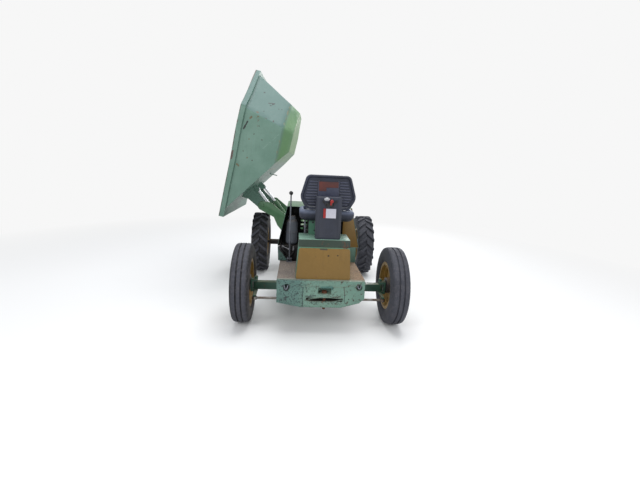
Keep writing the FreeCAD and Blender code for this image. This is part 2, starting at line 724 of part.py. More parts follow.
def side_x(left, z):
    """The seat box's left or right face at height z."""
    foot = at.box_foot_left if left else at.box_foot_right
    head = at.box_head_left if left else at.box_head_right
    return foot + (head - foot) * (z - at.deck_top) / (at.box_top - at.deck_top)


def box_loop(inset, low, high):
    return [
        (side_x(True, low) + inset, low), (side_x(False, low) - inset, low),
        (side_x(False, high) - inset, high), (side_x(True, high) + inset, high),
    ]


def seat_box():
    t = at.box_sheet
    depth = at.box_front - at.box_back
    outer = put(plate("seat_box_outer", "XZ_Plane", [box_loop(size(0), at.deck_top, at.box_top)], depth),
                (0, at.box_back, 0))
    inner_loop = [
        (side_x(True, at.deck_top) + t, at.deck_top - 1), (side_x(False, at.deck_top) - t, at.deck_top - 1),
        (side_x(False, at.box_top) - t, at.box_top - t), (side_x(True, at.box_top) + t, at.box_top - t),
    ]
    inner = put(plate("seat_box_inner", "XZ_Plane", [inner_loop], depth - t * 2), (0, at.box_back + t, 0))
    keep("seat_box", cut("seat_box_whole", outer, [inner]))
    b = at.panel_border
    loop = box_loop(b, at.deck_top + b, at.box_top - b)
    keep("seat_box_panel", plate("seat_box_panel_body", "XZ_Plane", [loop], at.panel_sheet),
         (0, at.box_back - at.panel_sheet, 0))
    high = at.box_top + at.lid_height
    blank = box("plinth_blank", (at.box_head_left, at.box_back, at.box_top), (at.box_head_right, at.box_front, high))
    hollow = box("plinth_hollow", (at.box_head_left + t, at.box_back + t, at.box_top - 1),
                 (at.box_head_right - t, at.box_front - t, high - t))
    keep("seat_plinth", cut("seat_plinth_whole", blank, [hollow]))


seat_box()


# Seat: suspension cover, shell, cushions and the stand under its front.

def seat():
    foot = at.box_top + at.lid_height
    half = at.column_half
    c = at.column_chamfer
    back = at.column_back
    front = at.column_back + at.column_depth
    loop = [
        (-half + c, back), (half - c, back), (half, back + c), (half, front), (-half, front), (-half, back + c),
    ]
    cover = put(plate("cover_blank", "XY_Plane", [loop], at.column_top - foot), (0, 0, foot))
    runner = box("seat_runner", (-60, front, at.pan_bottom), (60, at.back_rear, at.back_widest))
    keep("seat_column", fuse("seat_column_whole", [cover, runner]), (at.seat_x, 0, 0))
    shell_loop = [
        (-at.back_bottom_half, at.back_bottom), (at.back_bottom_half, at.back_bottom),
        (at.back_widest_half, at.back_widest), (at.back_top_half, at.back_top),
        (-at.back_top_half, at.back_top), (-at.back_widest_half, at.back_widest),
    ]
    back_shell = put(plate("back_shell", "XZ_Plane", [shell_loop], at.back_sheet), (0, at.back_rear, 0))
    t = at.pan_sheet
    pan_back = at.back_rear + at.back_sheet
    spine = box("shell_spine", (-90, at.back_rear, at.pan_bottom), (90, pan_back, at.back_bottom + 40))
    pan_blank = box("pan_blank", (-at.pan_half, at.back_rear, at.pan_bottom),
                    (at.pan_half, at.pan_front, at.pan_bottom + at.pan_height))
    pan_hollow = box("pan_hollow", (-at.pan_half + t, pan_back, at.pan_bottom + t),
                     (at.pan_half - t, at.pan_front + 1, at.pan_bottom + at.pan_height + 1))
    pan = cut("seat_pan", pan_blank, [pan_hollow])
    keep("seat_shell", fuse("seat_shell_whole", [back_shell, spine, pan]), (at.seat_x, 0, 0))
    gap = at.fit_gap
    low = at.pan_bottom + t + gap
    cushion = box("cushion_block", (-at.pan_half + t + 2, pan_back + at.back_cushion_depth + 1, low),
                  (at.pan_half - t - 2, at.pan_front + 15, low + at.cushion_height))
    keep("seat_cushion", group("seat_cushion_whole", [cushion]), (at.seat_x, 0, 0))
    inset = 16
    cushion_loop = [
        (-at.back_bottom_half + inset, at.back_bottom + inset), (at.back_bottom_half - inset, at.back_bottom + inset),
        (at.back_widest_half - inset, at.back_widest), (at.back_top_half - inset, at.back_top - inset),
        (-at.back_top_half + inset, at.back_top - inset), (-at.back_widest_half + inset, at.back_widest),
    ]
    keep("back_cushion", plate("back_cushion_body", "XZ_Plane", [cushion_loop], at.back_cushion_depth),
         (at.seat_x, pan_back + gap, 0))
    stand = box("seat_stand_blank", (at.stand_left, -40, foot), (at.stand_left + at.stand_width, -28, at.pan_bottom))
    foot_plate = box("seat_stand_foot", (at.stand_left, -40, foot), (at.stand_left + at.stand_width, 10, foot + 6))
    keep("seat_stand", fuse("seat_stand_whole", [stand, foot_plate]))


seat()


# Engine bay: base, hood, yellow rear panel and front panel.

def hood_half(z, inset):
    """Half width of the hood at height z, measured inset inwards of its outside."""
    run = hood_foot_half - hood_head_half
    return hood_foot_half - run * (z - at.bay_base_top) / (at.hood_top - at.bay_base_top) - inset


def engine_bay():
    t = at.bay_sheet
    blank = box("bay_blank", (-bay_half, at.bulkhead_y, frame_top), (bay_half, at.bay_front, at.bay_base_top))
    hollow = box("bay_hollow", (-bay_half + t, at.bulkhead_y + t, frame_top - 1),
                 (bay_half - t, at.bay_front - t, at.bay_base_top + 1))
    side = at.gearbox_half + at.gearbox_gap
    doorway = box("gearbox_doorway", (-side, at.bay_front - t * 2, frame_top - 1),
                  (side, at.bay_front + t, at.gearbox_top + at.gearbox_gap))
    lips = []
    for side, sign in SIDES:
        inner, outer = bay_half - t, hood_foot_half
        low, high = (inner, outer) if sign > 0 else (-outer, -inner)
        lips.append(box("bay_lip_" + side, (low, at.bulkhead_y, at.bay_base_top - t),
                        (high, at.bay_front, at.bay_base_top)))
    shelf = box("canister_shelf", (at.canister_x - 70, at.bulkhead_y, at.canister_bottom - 5),
                (at.canister_x + 70, at.canister_y + at.canister_radius, at.canister_bottom))
    keep("engine_bay_base", fuse("bay_whole", [cut("bay_walls", blank, [hollow, doorway]), shelf] + lips))
    foot, head, s = at.bay_base_top, at.hood_top, at.hood_sheet
    hood_loop = [
        (-hood_half(foot, 0), foot), (-hood_half(foot, s), foot), (-hood_half(head - s, s), head - s),
        (hood_half(head - s, s), head - s), (hood_half(foot, s), foot), (hood_half(foot, 0), foot),
        (hood_half(head, 0), head), (-hood_half(head, 0), head),
    ]
    keep("hood", plate("hood_body", "XZ_Plane", [hood_loop], at.bay_front - at.bulkhead_y), (0, at.bulkhead_y, 0))
    inset = s + at.fit_gap
    low, high = foot, head - inset
    panel_loop = [
        (at.rear_panel_left, low), (hood_half(low, inset), low),
        (hood_half(high, inset), high), (at.rear_panel_left, high),
    ]
    keep("hood_rear_panel", plate("hood_rear_panel_body", "XZ_Plane", [panel_loop], s), (0, at.bulkhead_y, 0))
    front_loop = [
        (-hood_half(low, inset), low), (hood_half(low, inset), low),
        (hood_half(high, inset), high), (-hood_half(high, inset), high),
    ]
    slots = []
    for index in range(6):
        z = 740 + index * 45
        slots.append([(-180, z), (180, z), (180, z + 20), (-180, z + 20)])
    keep("hood_front_panel", plate("hood_front_panel_body", "XZ_Plane", [front_loop] + slots, s),
         (0, at.bay_front - s, 0))


def engine():
    x = at.engine_half
    crankcase = box("crankcase", (-x, at.engine_back, at.engine_bottom), (x, at.engine_front, at.engine_top))
    head = box("cylinder_head", (-x + 40, at.engine_back + 70, at.engine_top),
               (x - 40, at.engine_front - 40, at.engine_head_top))
    flywheel = rod("flywheel", at.flywheel_radius, 34, (0, at.engine_back - 34, at.engine_top - 130), "y")
    feet = [box("engine_foot_" + side, ((at.rail_centre + 20) * sign if sign < 0 else x, at.engine_back + 120, frame_top),
                (-x if sign < 0 else at.rail_centre + 20, at.engine_back + 200, at.engine_bottom + 20))
            for side, sign in SIDES]
    keep("engine", fuse("engine_whole", [crankcase, head, flywheel] + feet))
    half = at.gearbox_half
    case = box("gearbox_case", (-half, at.engine_front, at.gearbox_bottom), (half, at.gearbox_front, at.gearbox_top))
    drop = box("drop_case", (-half + 30, at.drop_case_back, at.drop_case_bottom),
               (half - 30, at.gearbox_front, at.gearbox_bottom))
    shaft = rod("prop_shaft", at.prop_shaft_radius, at.wheelbase - at.pinion_reach - at.gearbox_front,
                (0, at.gearbox_front, at.front_wheel_radius + at.pinion_rise), "y")
    cross = box("gearbox_mount", (-at.rail_centre + at.rail_width / 2, at.gearbox_front - 120, rail_bottom),
                (at.rail_centre - at.rail_width / 2, at.gearbox_front - 80, rail_bottom + 30))
    keep("gearbox", fuse("gearbox_whole", [case, drop, shaft, cross]))
    r = at.canister_radius
    top = at.canister_top
    loop = [
        (at.canister_bottom, 0), (top, 0), (top, 20), (top - 22, 20), (top - 30, r - 18), (top - 52, r),
        (at.canister_bottom, r),
    ]
    body = turned("air_cleaner_body", loop)
    upright = group("air_cleaner_upright", [put(body, (0, 0, 0), ((0, 1, 0), -90))])
    keep("air_cleaner", upright, (at.canister_x, at.canister_y, 0))


engine_bay()
engine()


# Control lever at the driver's left, with its bracket and knob.

def lever():
    x, y = at.lever_inset - at.deck_half, at.lever_y
    foot = box("lever_foot", (x - 30, y - 20, at.deck_top), (x + 30, y + 20, at.deck_top + 6))
    cheeks = [box("lever_cheek_" + name, (x + low, y - 18, at.deck_top), (x + low + 5, y + 18, at.deck_top + 46))
              for name, low in (("left", -19), ("right", 14))]
    pin = rod("lever_pin", 7, 50, (x - 25, y, at.deck_top + 32), "x")
    stick = rod("lever_stick", at.lever_radius, at.lever_top - at.deck_top - 20, (x, y, at.deck_top + 20))
    keep("control_lever", fuse("control_lever_whole", [foot, pin, stick] + cheeks))
    ball = doc.addObject("Part::Sphere", "lever_ball")
    bind(ball, "Radius", at.knob_radius)
    put(ball, (x, y, at.lever_top + at.knob_radius * 0.9))
    below = box("lever_ball_trim", (x - 20, y - 20, at.lever_top - 10), (x + 20, y + 20, at.lever_top))
    keep("lever_knob", cut("lever_knob_whole", ball, [below]))


lever()


# Steering column on the hood, and the steering wheel that turns about it.

def steering():
    rake = at.steering_rake
    drop = at.wheel_hub_z - at.hood_top
    run = drop * sine(rake) / cosine(rake)
    reach = drop / cosine(rake)
    tube = doc.addObject("Part::Cylinder", "steering_tube")
    bind(tube, "Radius", at.column_tube_radius)
    bind(tube, "Height", reach - at.steering_boss_drop - at.fit_gap)
    put(tube, (0, at.wheel_hub_y + run, at.hood_top), angle=((1, 0, 0), rake))
    flange = box("steering_flange", (-55, at.wheel_hub_y + run - 70, at.hood_top),
                 (55, at.wheel_hub_y + run + 60, at.hood_top + 8))
    lower = box("steering_trim", (-60, at.wheel_hub_y + run - 80, at.hood_top - 60),
                (60, at.wheel_hub_y + run + 80, at.hood_top))
    keep("steering_column", cut("steering_column_whole", fuse("steering_column_solid", [tube, flange]), [lower]),
         (at.seat_x, 0, 0))
    ring = doc.addObject("Part::Torus", "steering_ring")
    bind(ring, "Radius1", at.steering_rim_radius)
    bind(ring, "Radius2", at.steering_rim_tube)
    reach = at.steering_rim_radius
    spokes = [rod("steering_spoke_%d" % index, 8, reach - 20, (0, 0, 0), "x") for index in range(3)]
    for index, spoke in enumerate(spokes):
        turn = FreeCAD.Rotation(FreeCAD.Vector(0, 0, 1), 90 + 120 * index)
        tilt = FreeCAD.Rotation(FreeCAD.Vector(0, 1, 0), 90)
        spoke.Placement = FreeCAD.Placement(FreeCAD.Vector(), turn.multiply(tilt))
        bind(spoke, "Height", reach)
    boss = rod("steering_boss", 34, 44, (0, 0, -at.steering_boss_drop))
    wheel = fuse("steering_wheel_solid", [ring, boss] + spokes)
    put(wheel, (0, at.wheel_hub_y, at.wheel_hub_z), angle=((1, 0, 0), rake))
    keep("steering_wheel", group("steering_wheel_whole", [wheel]), (at.seat_x, 0, 0))


steering()


# Turntable: the fixed ring, then the swivel frame with its two arms.

ring_low = frame_top + at.seat_plate
ring_middle = ring_low + at.ring_height
ring_high = ring_middle + at.fit_gap + at.ring_height
base_top = ring_high + at.base_plate


def turntable():
    outer = rod("ring_outer", at.ring_radius, at.ring_height, (0, 0, ring_low))
    inner = rod("ring_inner", at.ring_bore, at.ring_height + 10, (0, 0, ring_low - 5))
    keep("turntable_ring", cut("turntable_ring_whole", outer, [inner]), (0, at.swivel_y, 0))


def arm_plate(side, sign):
    r = at.arm_boss_radius
    y, z = at.pin_y, at.pin_z
    loop = [
        (at.base_back + 30, ring_high), (330, ring_high), (455, 692), (502, 796),
        (y + r * 0.62, z - r * 0.78, r), (y - r * 0.2, z + r * 0.98),
        (590, 985), (540, 982), (390, 862), (210, 720), (at.base_back + 30, 640),
    ]
    body = plate("arm_" + side, "YZ_Plane", [loop], at.arm_sheet)
    return put(body, (at.arm_centre * sign - at.arm_sheet / 2, 0, 0))


def swivel_frame():
    half = at.arm_centre + at.arm_sheet / 2
    base = box("base_plate_block", (-half, at.base_back, ring_high), (half, at.base_front, base_top))
    ring = cut("ring_upper", rod("ring_upper_outer", at.ring_radius, at.ring_height, (0, 0, ring_middle + at.fit_gap)),
               [rod("ring_upper_inner", at.ring_bore, at.ring_height + 10, (0, 0, ring_middle - 5))])
    arms = [arm_plate(side, sign) for side, sign in SIDES]
    tie = rod("arm_tie", at.tie_radius, at.arm_centre * 2, (-at.arm_centre, at.tie_y, at.tie_z), "x")
    w = at.rest_width
    rests = [box("rest_" + side, (at.rest_centre * sign - w / 2, at.rest_back, base_top),
                 (at.rest_centre * sign + w / 2, at.rest_back + w, at.rest_top)) for side, sign in SIDES]
    lugs = []
    for side, sign in SIDES:
        for name, offset in (("in", -1), ("out", 1)):
            middle = at.ram_centre * sign + (at.barrel_radius * 0.6 + at.ram_lug_gap + at.ram_lug_sheet / 2) * offset
            x = middle - at.ram_lug_sheet / 2
            y, z, r = at.ram_foot_y, at.ram_foot_z, at.ram_eye_radius + 6
            loop = [(y - r - 12, base_top - 2), (y + r + 12, base_top - 2), (y + r, z, r * 1.05), (y - r, z)]
            body = plate("foot_lug_%s_%s" % (side, name), "YZ_Plane", [loop], at.ram_lug_sheet)
            lugs.append(put(body, (x, 0, 0)))
        reach = at.barrel_radius * 0.6 + at.ram_lug_gap + at.ram_lug_sheet
        lugs.append(rod("foot_pin_" + side, at.ram_pin_radius, reach * 2 + 12,
                        (at.ram_centre * sign - reach - 6, at.ram_foot_y, at.ram_foot_z), "x"))
    pins = []
    for side, sign in SIDES:
        start = at.bracket_centre - at.bracket_sheet / 2 - 6
        length = at.arm_centre + at.arm_sheet / 2 + 8 - start
        x = start * sign if sign > 0 else -(start + length)
        pins.append(rod("tipping_pin_" + side, at.tipping_pin_radius, length, (x, at.pin_y, at.pin_z), "x"))
    keep_swivelled("swivel_frame", [fuse("swivel_frame_solid", [base, ring, tie] + arms + rests + lugs + pins)])


turntable()
swivel_frame()


# Skip: each level is (height, front y, half width at its bend, bend y, rear y).

LEVELS = [
    (at.rim_height, at.lip_y, at.rim_half, at.bend_y, at.rear_y),
    (at.fold_height, at.fold_front_y, at.fold_half, at.fold_bend_y, at.fold_rear_y),
    (at.floor_height, at.floor_front_y, at.floor_half, at.floor_bend_y, at.floor_rear_y),
]


def level_corners(level, grow):
    """Six corners of a level, from the rear left round to the front left, moved out by grow."""
    height, front, half, bend, rear = level
    front_half = half - at.side_taper * (front - bend)
    rear_half = half - at.corner_slope * (bend - rear)
    turn_in = math.tan(math.atan(1 / at.corner_slope.number) / 2)
    rear_out = rear_half + grow * math.tan(math.atan(at.corner_slope.number) / 2)
    right = [(rear_out, rear - grow), (half + grow, bend - grow * turn_in), (front_half + grow, front + grow)]
    left = [(-x, y) for x, y in reversed(right)]
    return right + left


def skip_loft(name, levels, ruled=True):
    body = doc.addObject("PartDesign::Body", name)
    sketches = []
    for index, (height, corners) in enumerate(levels):
        sketch = outline(body, "XY_Plane", [corners], "%s_level_%d" % (name, index))
        bind(sketch, "AttachmentOffset.Base.z", height)
        sketches.append(sketch)
    loft = body.newObject("PartDesign::AdditiveLoft", name + "_loft")
    loft.Profile = sketches[0]
    loft.Sections = sketches[1:]
    loft.Ruled = ruled
    return body


def skip_hollow(name):
    """Load space inside the plates. It is cut twice, so that no bracket stands through into it."""
    t = at.skip_sheet
    inside = [(level[0], level_corners(level, -t)) for level in LEVELS]
    inside[2] = (inside[2][0] + t, inside[2][1])
    return skip_loft(name, inside)


def skip():
    t = at.skip_sheet
    outer = skip_loft("skip_outer", [(level[0], level_corners(level, 0)) for level in LEVELS])
    lid = plate("skip_mouth", "XY_Plane", [level_corners(LEVELS[0], -t)], 5)
    put(lid, (0, 0, at.rim_height - 0.001))
    inner = skip_hollow("skip_inner")
    band = plate("rim_band_blank", "XY_Plane", [level_corners(LEVELS[0], at.rim_stand)], at.rim_band)
    put(band, (0, 0, at.rim_height - at.rim_band))
    shell = cut("skip_shell", fuse("skip_solid", [outer, band]), [fuse("skip_inside", [inner, lid])])
    extras = []
    bores = []
    for side, sign in SIDES:
        loop = [
            (48, 20), (-38, 193), (-46, 310), (-215, 195), (-115, 86), (-45, -28, 53),
        ]
        blank = plate("hinge_bracket_" + side, "YZ_Plane", [loop], at.bracket_sheet)
        extras.append(put(blank, (at.bracket_centre * sign - at.bracket_sheet / 2, 0, 0)))
        bores.append(rod("bracket_bore_" + side, at.tipping_pin_radius + at.shaft_gap, at.bracket_sheet + 8,
                         (at.bracket_centre * sign - at.bracket_sheet / 2 - 4, 0, 0), "x"))
    # the eye's place in the skip frame, found by turning the tipped place back to rim level
    lean_sine, lean_cosine = sine(at.tip_angle), cosine(at.tip_angle)
    eye_y = at.ram_eye_y * lean_cosine - at.ram_eye_z * lean_sine
    eye_z = at.ram_eye_y * lean_sine + at.ram_eye_z * lean_cosine
    for side, sign in SIDES:
        for name, offset in (("in", -1), ("out", 1)):
            middle = at.ram_centre * sign + (at.barrel_radius * 0.6 + at.ram_lug_gap + at.ram_lug_sheet / 2) * offset
            x = middle - at.ram_lug_sheet / 2
            r = at.ram_eye_radius
            loop = [
                (eye_y - r, eye_z, r * 1.05), (eye_y + r, eye_z), (eye_y + r + 10, eye_z + 90), (eye_y - r - 30, eye_z + 63),
            ]
            body = plate("eye_lug_%s_%s" % (side, name), "YZ_Plane", [loop], at.ram_lug_sheet)
            extras.append(put(body, (x, 0, 0)))
    catch = box("catch_plate", (-at.catch_width / 2, at.catch_back, at.catch_bottom),
                (at.catch_width / 2, at.catch_back + at.catch_sheet, at.catch_bottom + 100))
    extras.append(catch)
    solid = fuse("skip_with_brackets", [shell] + extras)
    trimmed = cut("skip_trimmed", solid, bores + [skip_hollow("skip_inner_again")])
    put(trimmed, (0, at.pin_y, at.pin_z), angle=((1, 0, 0), -at.tip_angle))
    keep_swivelled("skip", [trimmed])


skip()


# Tipping rams: local z runs up the ram from its foot pin, x across.

rise = at.pin_z + at.ram_eye_z - at.ram_foot_z
run = at.pin_y + at.ram_eye_y - at.ram_foot_y
ram_length = length_of(rise, run)
ram_lean = arctangent(run, rise)


def rams():
    barrels = []
    rods = []
    for side, sign in SIDES:
        x = at.ram_centre * sign
        wide = at.barrel_radius * 0.6
        start = at.ram_eye_radius + 16
        tube = rod("barrel_" + side, at.barrel_radius, at.barrel_length - start, (x, 0, start))
        neck = rod("barrel_neck_" + side, wide - 3, at.ram_eye_radius, (x, 0, start - at.ram_eye_radius))
        eye = rod("foot_eye_" + side, at.ram_eye_radius, wide * 2, (x - wide, 0, 0), "x")
        bore = rod("foot_bore_" + side, at.ram_pin_radius + at.shaft_gap, wide * 2 + 10, (x - wide - 5, 0, 0), "x")
        inside = rod("barrel_inside_" + side, at.ram_rod_radius + at.shaft_gap, at.barrel_length, (x, 0, at.barrel_floor))
        barrels.append(cut("ram_barrel_" + side, fuse("ram_barrel_solid_" + side, [tube, neck, eye]), [bore, inside]))
        low = at.barrel_length - at.rod_engaged
        shaft = rod("ram_rod_shaft_" + side, at.ram_rod_radius, ram_length - low, (x, 0, low))
        end = rod("ram_rod_eye_" + side, at.ram_eye_radius - 2, wide * 2, (x - wide, 0, ram_length), "x")
        rods.append(fuse("ram_rod_" + side, [shaft, end]))
    for label, things in (("ram_barrels", barrels), ("ram_rods", rods)):
        leaning = group(label + "_leaning", things)
        put(leaning, (0, at.ram_foot_y, at.ram_foot_z), angle=((1, 0, 0), -ram_lean))
        keep_swivelled(label, [leaning])


rams()


# Check every object before anything is written.

doc.recompute()
faults = []
for item in doc.Objects:
    if "Invalid" in item.State or "Error" in item.State:
        faults.append("%s: %s" % (item.Name, item.State))
for label, item in pieces.items():
    shape = item.Shape
    if shape.isNull() or not shape.isValid() or not shape.Solids:
        faults.append(label + ": no valid solid")
if faults:
    raise RuntimeError("; ".join(faults))

os.makedirs("parts", exist_ok=True)
whole = FreeCAD.BoundBox()
for label, item in pieces.items():
    item.Shape.exportStep("parts/%s.step" % label)
    whole.add(item.Shape.BoundBox)
    print("%-20s solids %2d  volume %10.1f cm3" % (label, len(item.Shape.Solids), item.Shape.Volume / 1000))
print("nodes", len(pieces))
print("x %.1f to %.1f, y %.1f to %.1f, z %.1f to %.1f" % (
    whole.XMin, whole.XMax, whole.YMin, whole.YMax, whole.ZMin, whole.ZMax))
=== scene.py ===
import json
import math

import bmesh
import bpy
from mathutils import Matrix, Vector, noise
from mathutils.bvhtree import BVHTree


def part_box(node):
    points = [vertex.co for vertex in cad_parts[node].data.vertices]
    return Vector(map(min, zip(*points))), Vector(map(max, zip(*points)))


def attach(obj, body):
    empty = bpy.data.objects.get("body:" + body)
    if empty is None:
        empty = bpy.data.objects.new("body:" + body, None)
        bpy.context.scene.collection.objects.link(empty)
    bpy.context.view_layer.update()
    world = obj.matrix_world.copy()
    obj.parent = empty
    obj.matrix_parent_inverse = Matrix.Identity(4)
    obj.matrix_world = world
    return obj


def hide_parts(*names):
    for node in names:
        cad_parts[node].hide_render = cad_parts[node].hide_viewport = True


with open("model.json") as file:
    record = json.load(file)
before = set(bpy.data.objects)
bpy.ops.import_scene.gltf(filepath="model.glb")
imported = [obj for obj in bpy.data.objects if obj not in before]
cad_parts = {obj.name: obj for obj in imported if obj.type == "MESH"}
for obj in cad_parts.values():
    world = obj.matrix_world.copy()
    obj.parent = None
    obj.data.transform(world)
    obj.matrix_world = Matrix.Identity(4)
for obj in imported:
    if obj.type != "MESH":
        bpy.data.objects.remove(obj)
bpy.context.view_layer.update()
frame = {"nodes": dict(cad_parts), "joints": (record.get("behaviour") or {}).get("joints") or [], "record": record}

JOINTS = {joint["name"]: joint for joint in frame["joints"]}
noise.seed_set(41)

# Places. The vehicle frame has its origin on the ground under the middle of the rear axle,
# x to the right, y forwards, z up. All lengths are metres.


def middle(node):
    low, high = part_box(node)
    return (low + high) / 2


axle = middle("rear_axle")
VEHICLE = Matrix.Translation((axle.x, axle.y, 0))

# The swivel frame points along the skip, from the turntable's axis. The skip frame has its
# origin at the tipping pin and its rim level.
TIPPED = math.radians(77.8)
turntable = Vector(JOINTS["skip_swivel"]["pos_m"])
pin = Vector(JOINTS["skip_tip"]["pos_m"])
across = -Vector(JOINTS["skip_tip"]["axis"])
HEADING = Matrix.Rotation(math.atan2(across.y, across.x), 4, "Z")
SWIVEL = Matrix.Translation((turntable.x, turntable.y, 0)) @ HEADING
SKIP = Matrix.Translation(pin) @ HEADING @ Matrix.Rotation(-TIPPED, 4, "X")
SIDES = (("left", -1), ("right", 1))


def in_vehicle(node):
    """Lowest and highest corner of a node in the vehicle frame."""
    low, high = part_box(node)
    return low - VEHICLE.translation, high - VEHICLE.translation


# Finishes. A Finish is one material's node tree, with short calls for the nodes that all share.


class Finish:
    def __init__(self, name):
        self.material = bpy.data.materials.new(name)
        self.material.use_nodes = True
        self.tree = self.material.node_tree
        self.shader = self.tree.nodes["Principled BSDF"]
        self.place = self.add("ShaderNodeTexCoord").outputs["Object"]

    def add(self, kind, **values):
        node = self.tree.nodes.new(kind)
        for name, value in values.items():
            setattr(node, name, value)
        return node

    def feed(self, socket, value):
        if isinstance(value, bpy.types.NodeSocket):
            self.tree.links.new(value, socket)
        elif isinstance(value, tuple) and len(value) == 3 and socket.type == "RGBA":
            socket.default_value = (*value, 1)
        else:
            socket.default_value = value

    def noise(self, scale, detail=4, roughness=0.55, place=None, distortion=0):
        node = self.add("ShaderNodeTexNoise")
        self.feed(node.inputs["Vector"], place or self.place)
        for name, value in (("Scale", scale), ("Detail", detail), ("Roughness", roughness),
                            ("Distortion", distortion)):
            node.inputs[name].default_value = value
        return node.outputs["Fac"]

    def stretched(self, scale):
        node = self.add("ShaderNodeMapping")
        self.feed(node.inputs["Vector"], self.place)
        node.inputs["Scale"].default_value = scale
        return node.outputs["Vector"]

    def math(self, operation, one, two=0.0, clamp=False):
        node = self.add("ShaderNodeMath", operation=operation, use_clamp=clamp)
        self.feed(node.inputs[0], one)
        self.feed(node.inputs[1], two)
        return node.outputs[0]

    def band(self, value, low, high, start=0.0, stop=1.0):
        """Value from start to stop as the input goes from low to high."""
        node = self.add("ShaderNodeMapRange")
        self.feed(node.inputs["Value"], value)
        for name, number in (("From Min", low), ("From Max", high), ("To Min", start), ("To Max", stop)):
            node.inputs[name].default_value = number
        return node.outputs["Result"]

    def mix(self, share, one, two):
        node = self.add("ShaderNodeMix", data_type="RGBA")
        self.feed(node.inputs["Factor"], share)
        self.feed(node.inputs["A"], one)
        self.feed(node.inputs["B"], two)
        return node.outputs["Result"]

    def facing(self, direction, low, high):
        """0 to 1 as the surface turns to face a direction at rest."""
        node = self.add("ShaderNodeVectorMath", operation="DOT_PRODUCT")
        self.feed(node.inputs[0], self.add("ShaderNodeTexCoord").outputs["Normal"])
        node.inputs[1].default_value = direction
        return self.band(node.outputs["Value"], low, high)

    def facing_up(self, low=0.25, high=0.95):
        return self.facing((0, 0, 1), low, high)

    def edges(self, radius):
        """1 along edges, from how far a rounded normal leaves the face's own."""
        rounded = self.add("ShaderNodeBevel", samples=4)
        rounded.inputs["Radius"].default_value = radius
        face = self.add("ShaderNodeNewGeometry")
        product = self.add("ShaderNodeVectorMath", operation="DOT_PRODUCT")
        self.feed(product.inputs[0], rounded.outputs["Normal"])
        self.feed(product.inputs[1], face.outputs["Normal"])
        return self.band(product.outputs["Value"], 0.995, 0.9)

    def along(self, axis, origin):
        """How far the surface lies from an origin along an axis."""
        node = self.add("ShaderNodeVectorMath", operation="DOT_PRODUCT")
        self.feed(node.inputs[0], self.place)
        node.inputs[1].default_value = axis
        return self.math("SUBTRACT", node.outputs["Value"], axis.dot(origin))

    def near_line(self, start, stop, place):
        """Distance of place from the line between two points."""
        run = stop - start
        away = self.add("ShaderNodeVectorMath", operation="SUBTRACT")
        self.feed(away.inputs[0], place)
        away.inputs[1].default_value = start
        if run.length > 1e-6:
            share = self.add("ShaderNodeVectorMath", operation="DOT_PRODUCT")
            self.feed(share.inputs[0], away.outputs["Vector"])
            share.inputs[1].default_value = run / run.length_squared
            scaled = self.add("ShaderNodeVectorMath", operation="SCALE")
            scaled.inputs[0].default_value = run
            self.feed(scaled.inputs["Scale"], self.math("ADD", share.outputs["Value"], 0.0, clamp=True))
            rest = self.add("ShaderNodeVectorMath", operation="SUBTRACT")
            self.feed(rest.inputs[0], away.outputs["Vector"])
            self.feed(rest.inputs[1], scaled.outputs["Vector"])
            away = rest
        length = self.add("ShaderNodeVectorMath", operation="LENGTH")
        self.feed(length.inputs[0], away.outputs["Vector"])
        return length.outputs["Value"]

    def wobbled(self, scale, amount):
        """The surface's place, moved about a little, for marks with ragged edges."""
        noisy = self.add("ShaderNodeTexNoise")
        self.feed(noisy.inputs["Vector"], self.place)
        noisy.inputs["Scale"].default_value = scale
        noisy.inputs["Detail"].default_value = 4
        node = self.add("ShaderNodeVectorMath", operation="MULTIPLY_ADD")
        self.feed(node.inputs[0], noisy.outputs["Color"])
        node.inputs[1].default_value = (amount, amount, amount)
        self.feed(node.inputs[2], self.place)
        moved = self.add("ShaderNodeVectorMath", operation="SUBTRACT")
        self.feed(moved.inputs[0], node.outputs["Vector"])
        moved.inputs[1].default_value = (amount / 2, amount / 2, amount / 2)
        return moved.outputs["Vector"]

    def relief(self, height, strength, distance, under=None):
        node = self.add("ShaderNodeBump")
        node.inputs["Strength"].default_value = strength
        node.inputs["Distance"].default_value = distance
        self.feed(node.inputs["Height"], height)
        if under is not None:
            self.feed(node.inputs["Normal"], under)
        return node.outputs["Normal"]

    def finish(self, colour, roughness, normal=None, metal=0.0):
        self.feed(self.shader.inputs["Base Color"], colour)
        self.feed(self.shader.inputs["Roughness"], roughness)
        self.feed(self.shader.inputs["Metallic"], metal)
        if normal is not None:
            self.feed(self.shader.inputs["Normal"], normal)
        return self.material


def linear(red, green, blue):
    """Colour from the 0 to 255 values seen on a screen."""
    return tuple((value / 255 / 12.92) if value < 10 else ((value / 255 + 0.055) / 1.055) ** 2.4
                 for value in (red, green, blue))


RUST = linear(112, 66, 42)
DARK_RUST = linear(58, 36, 28)
DUST = linear(168, 150, 126)


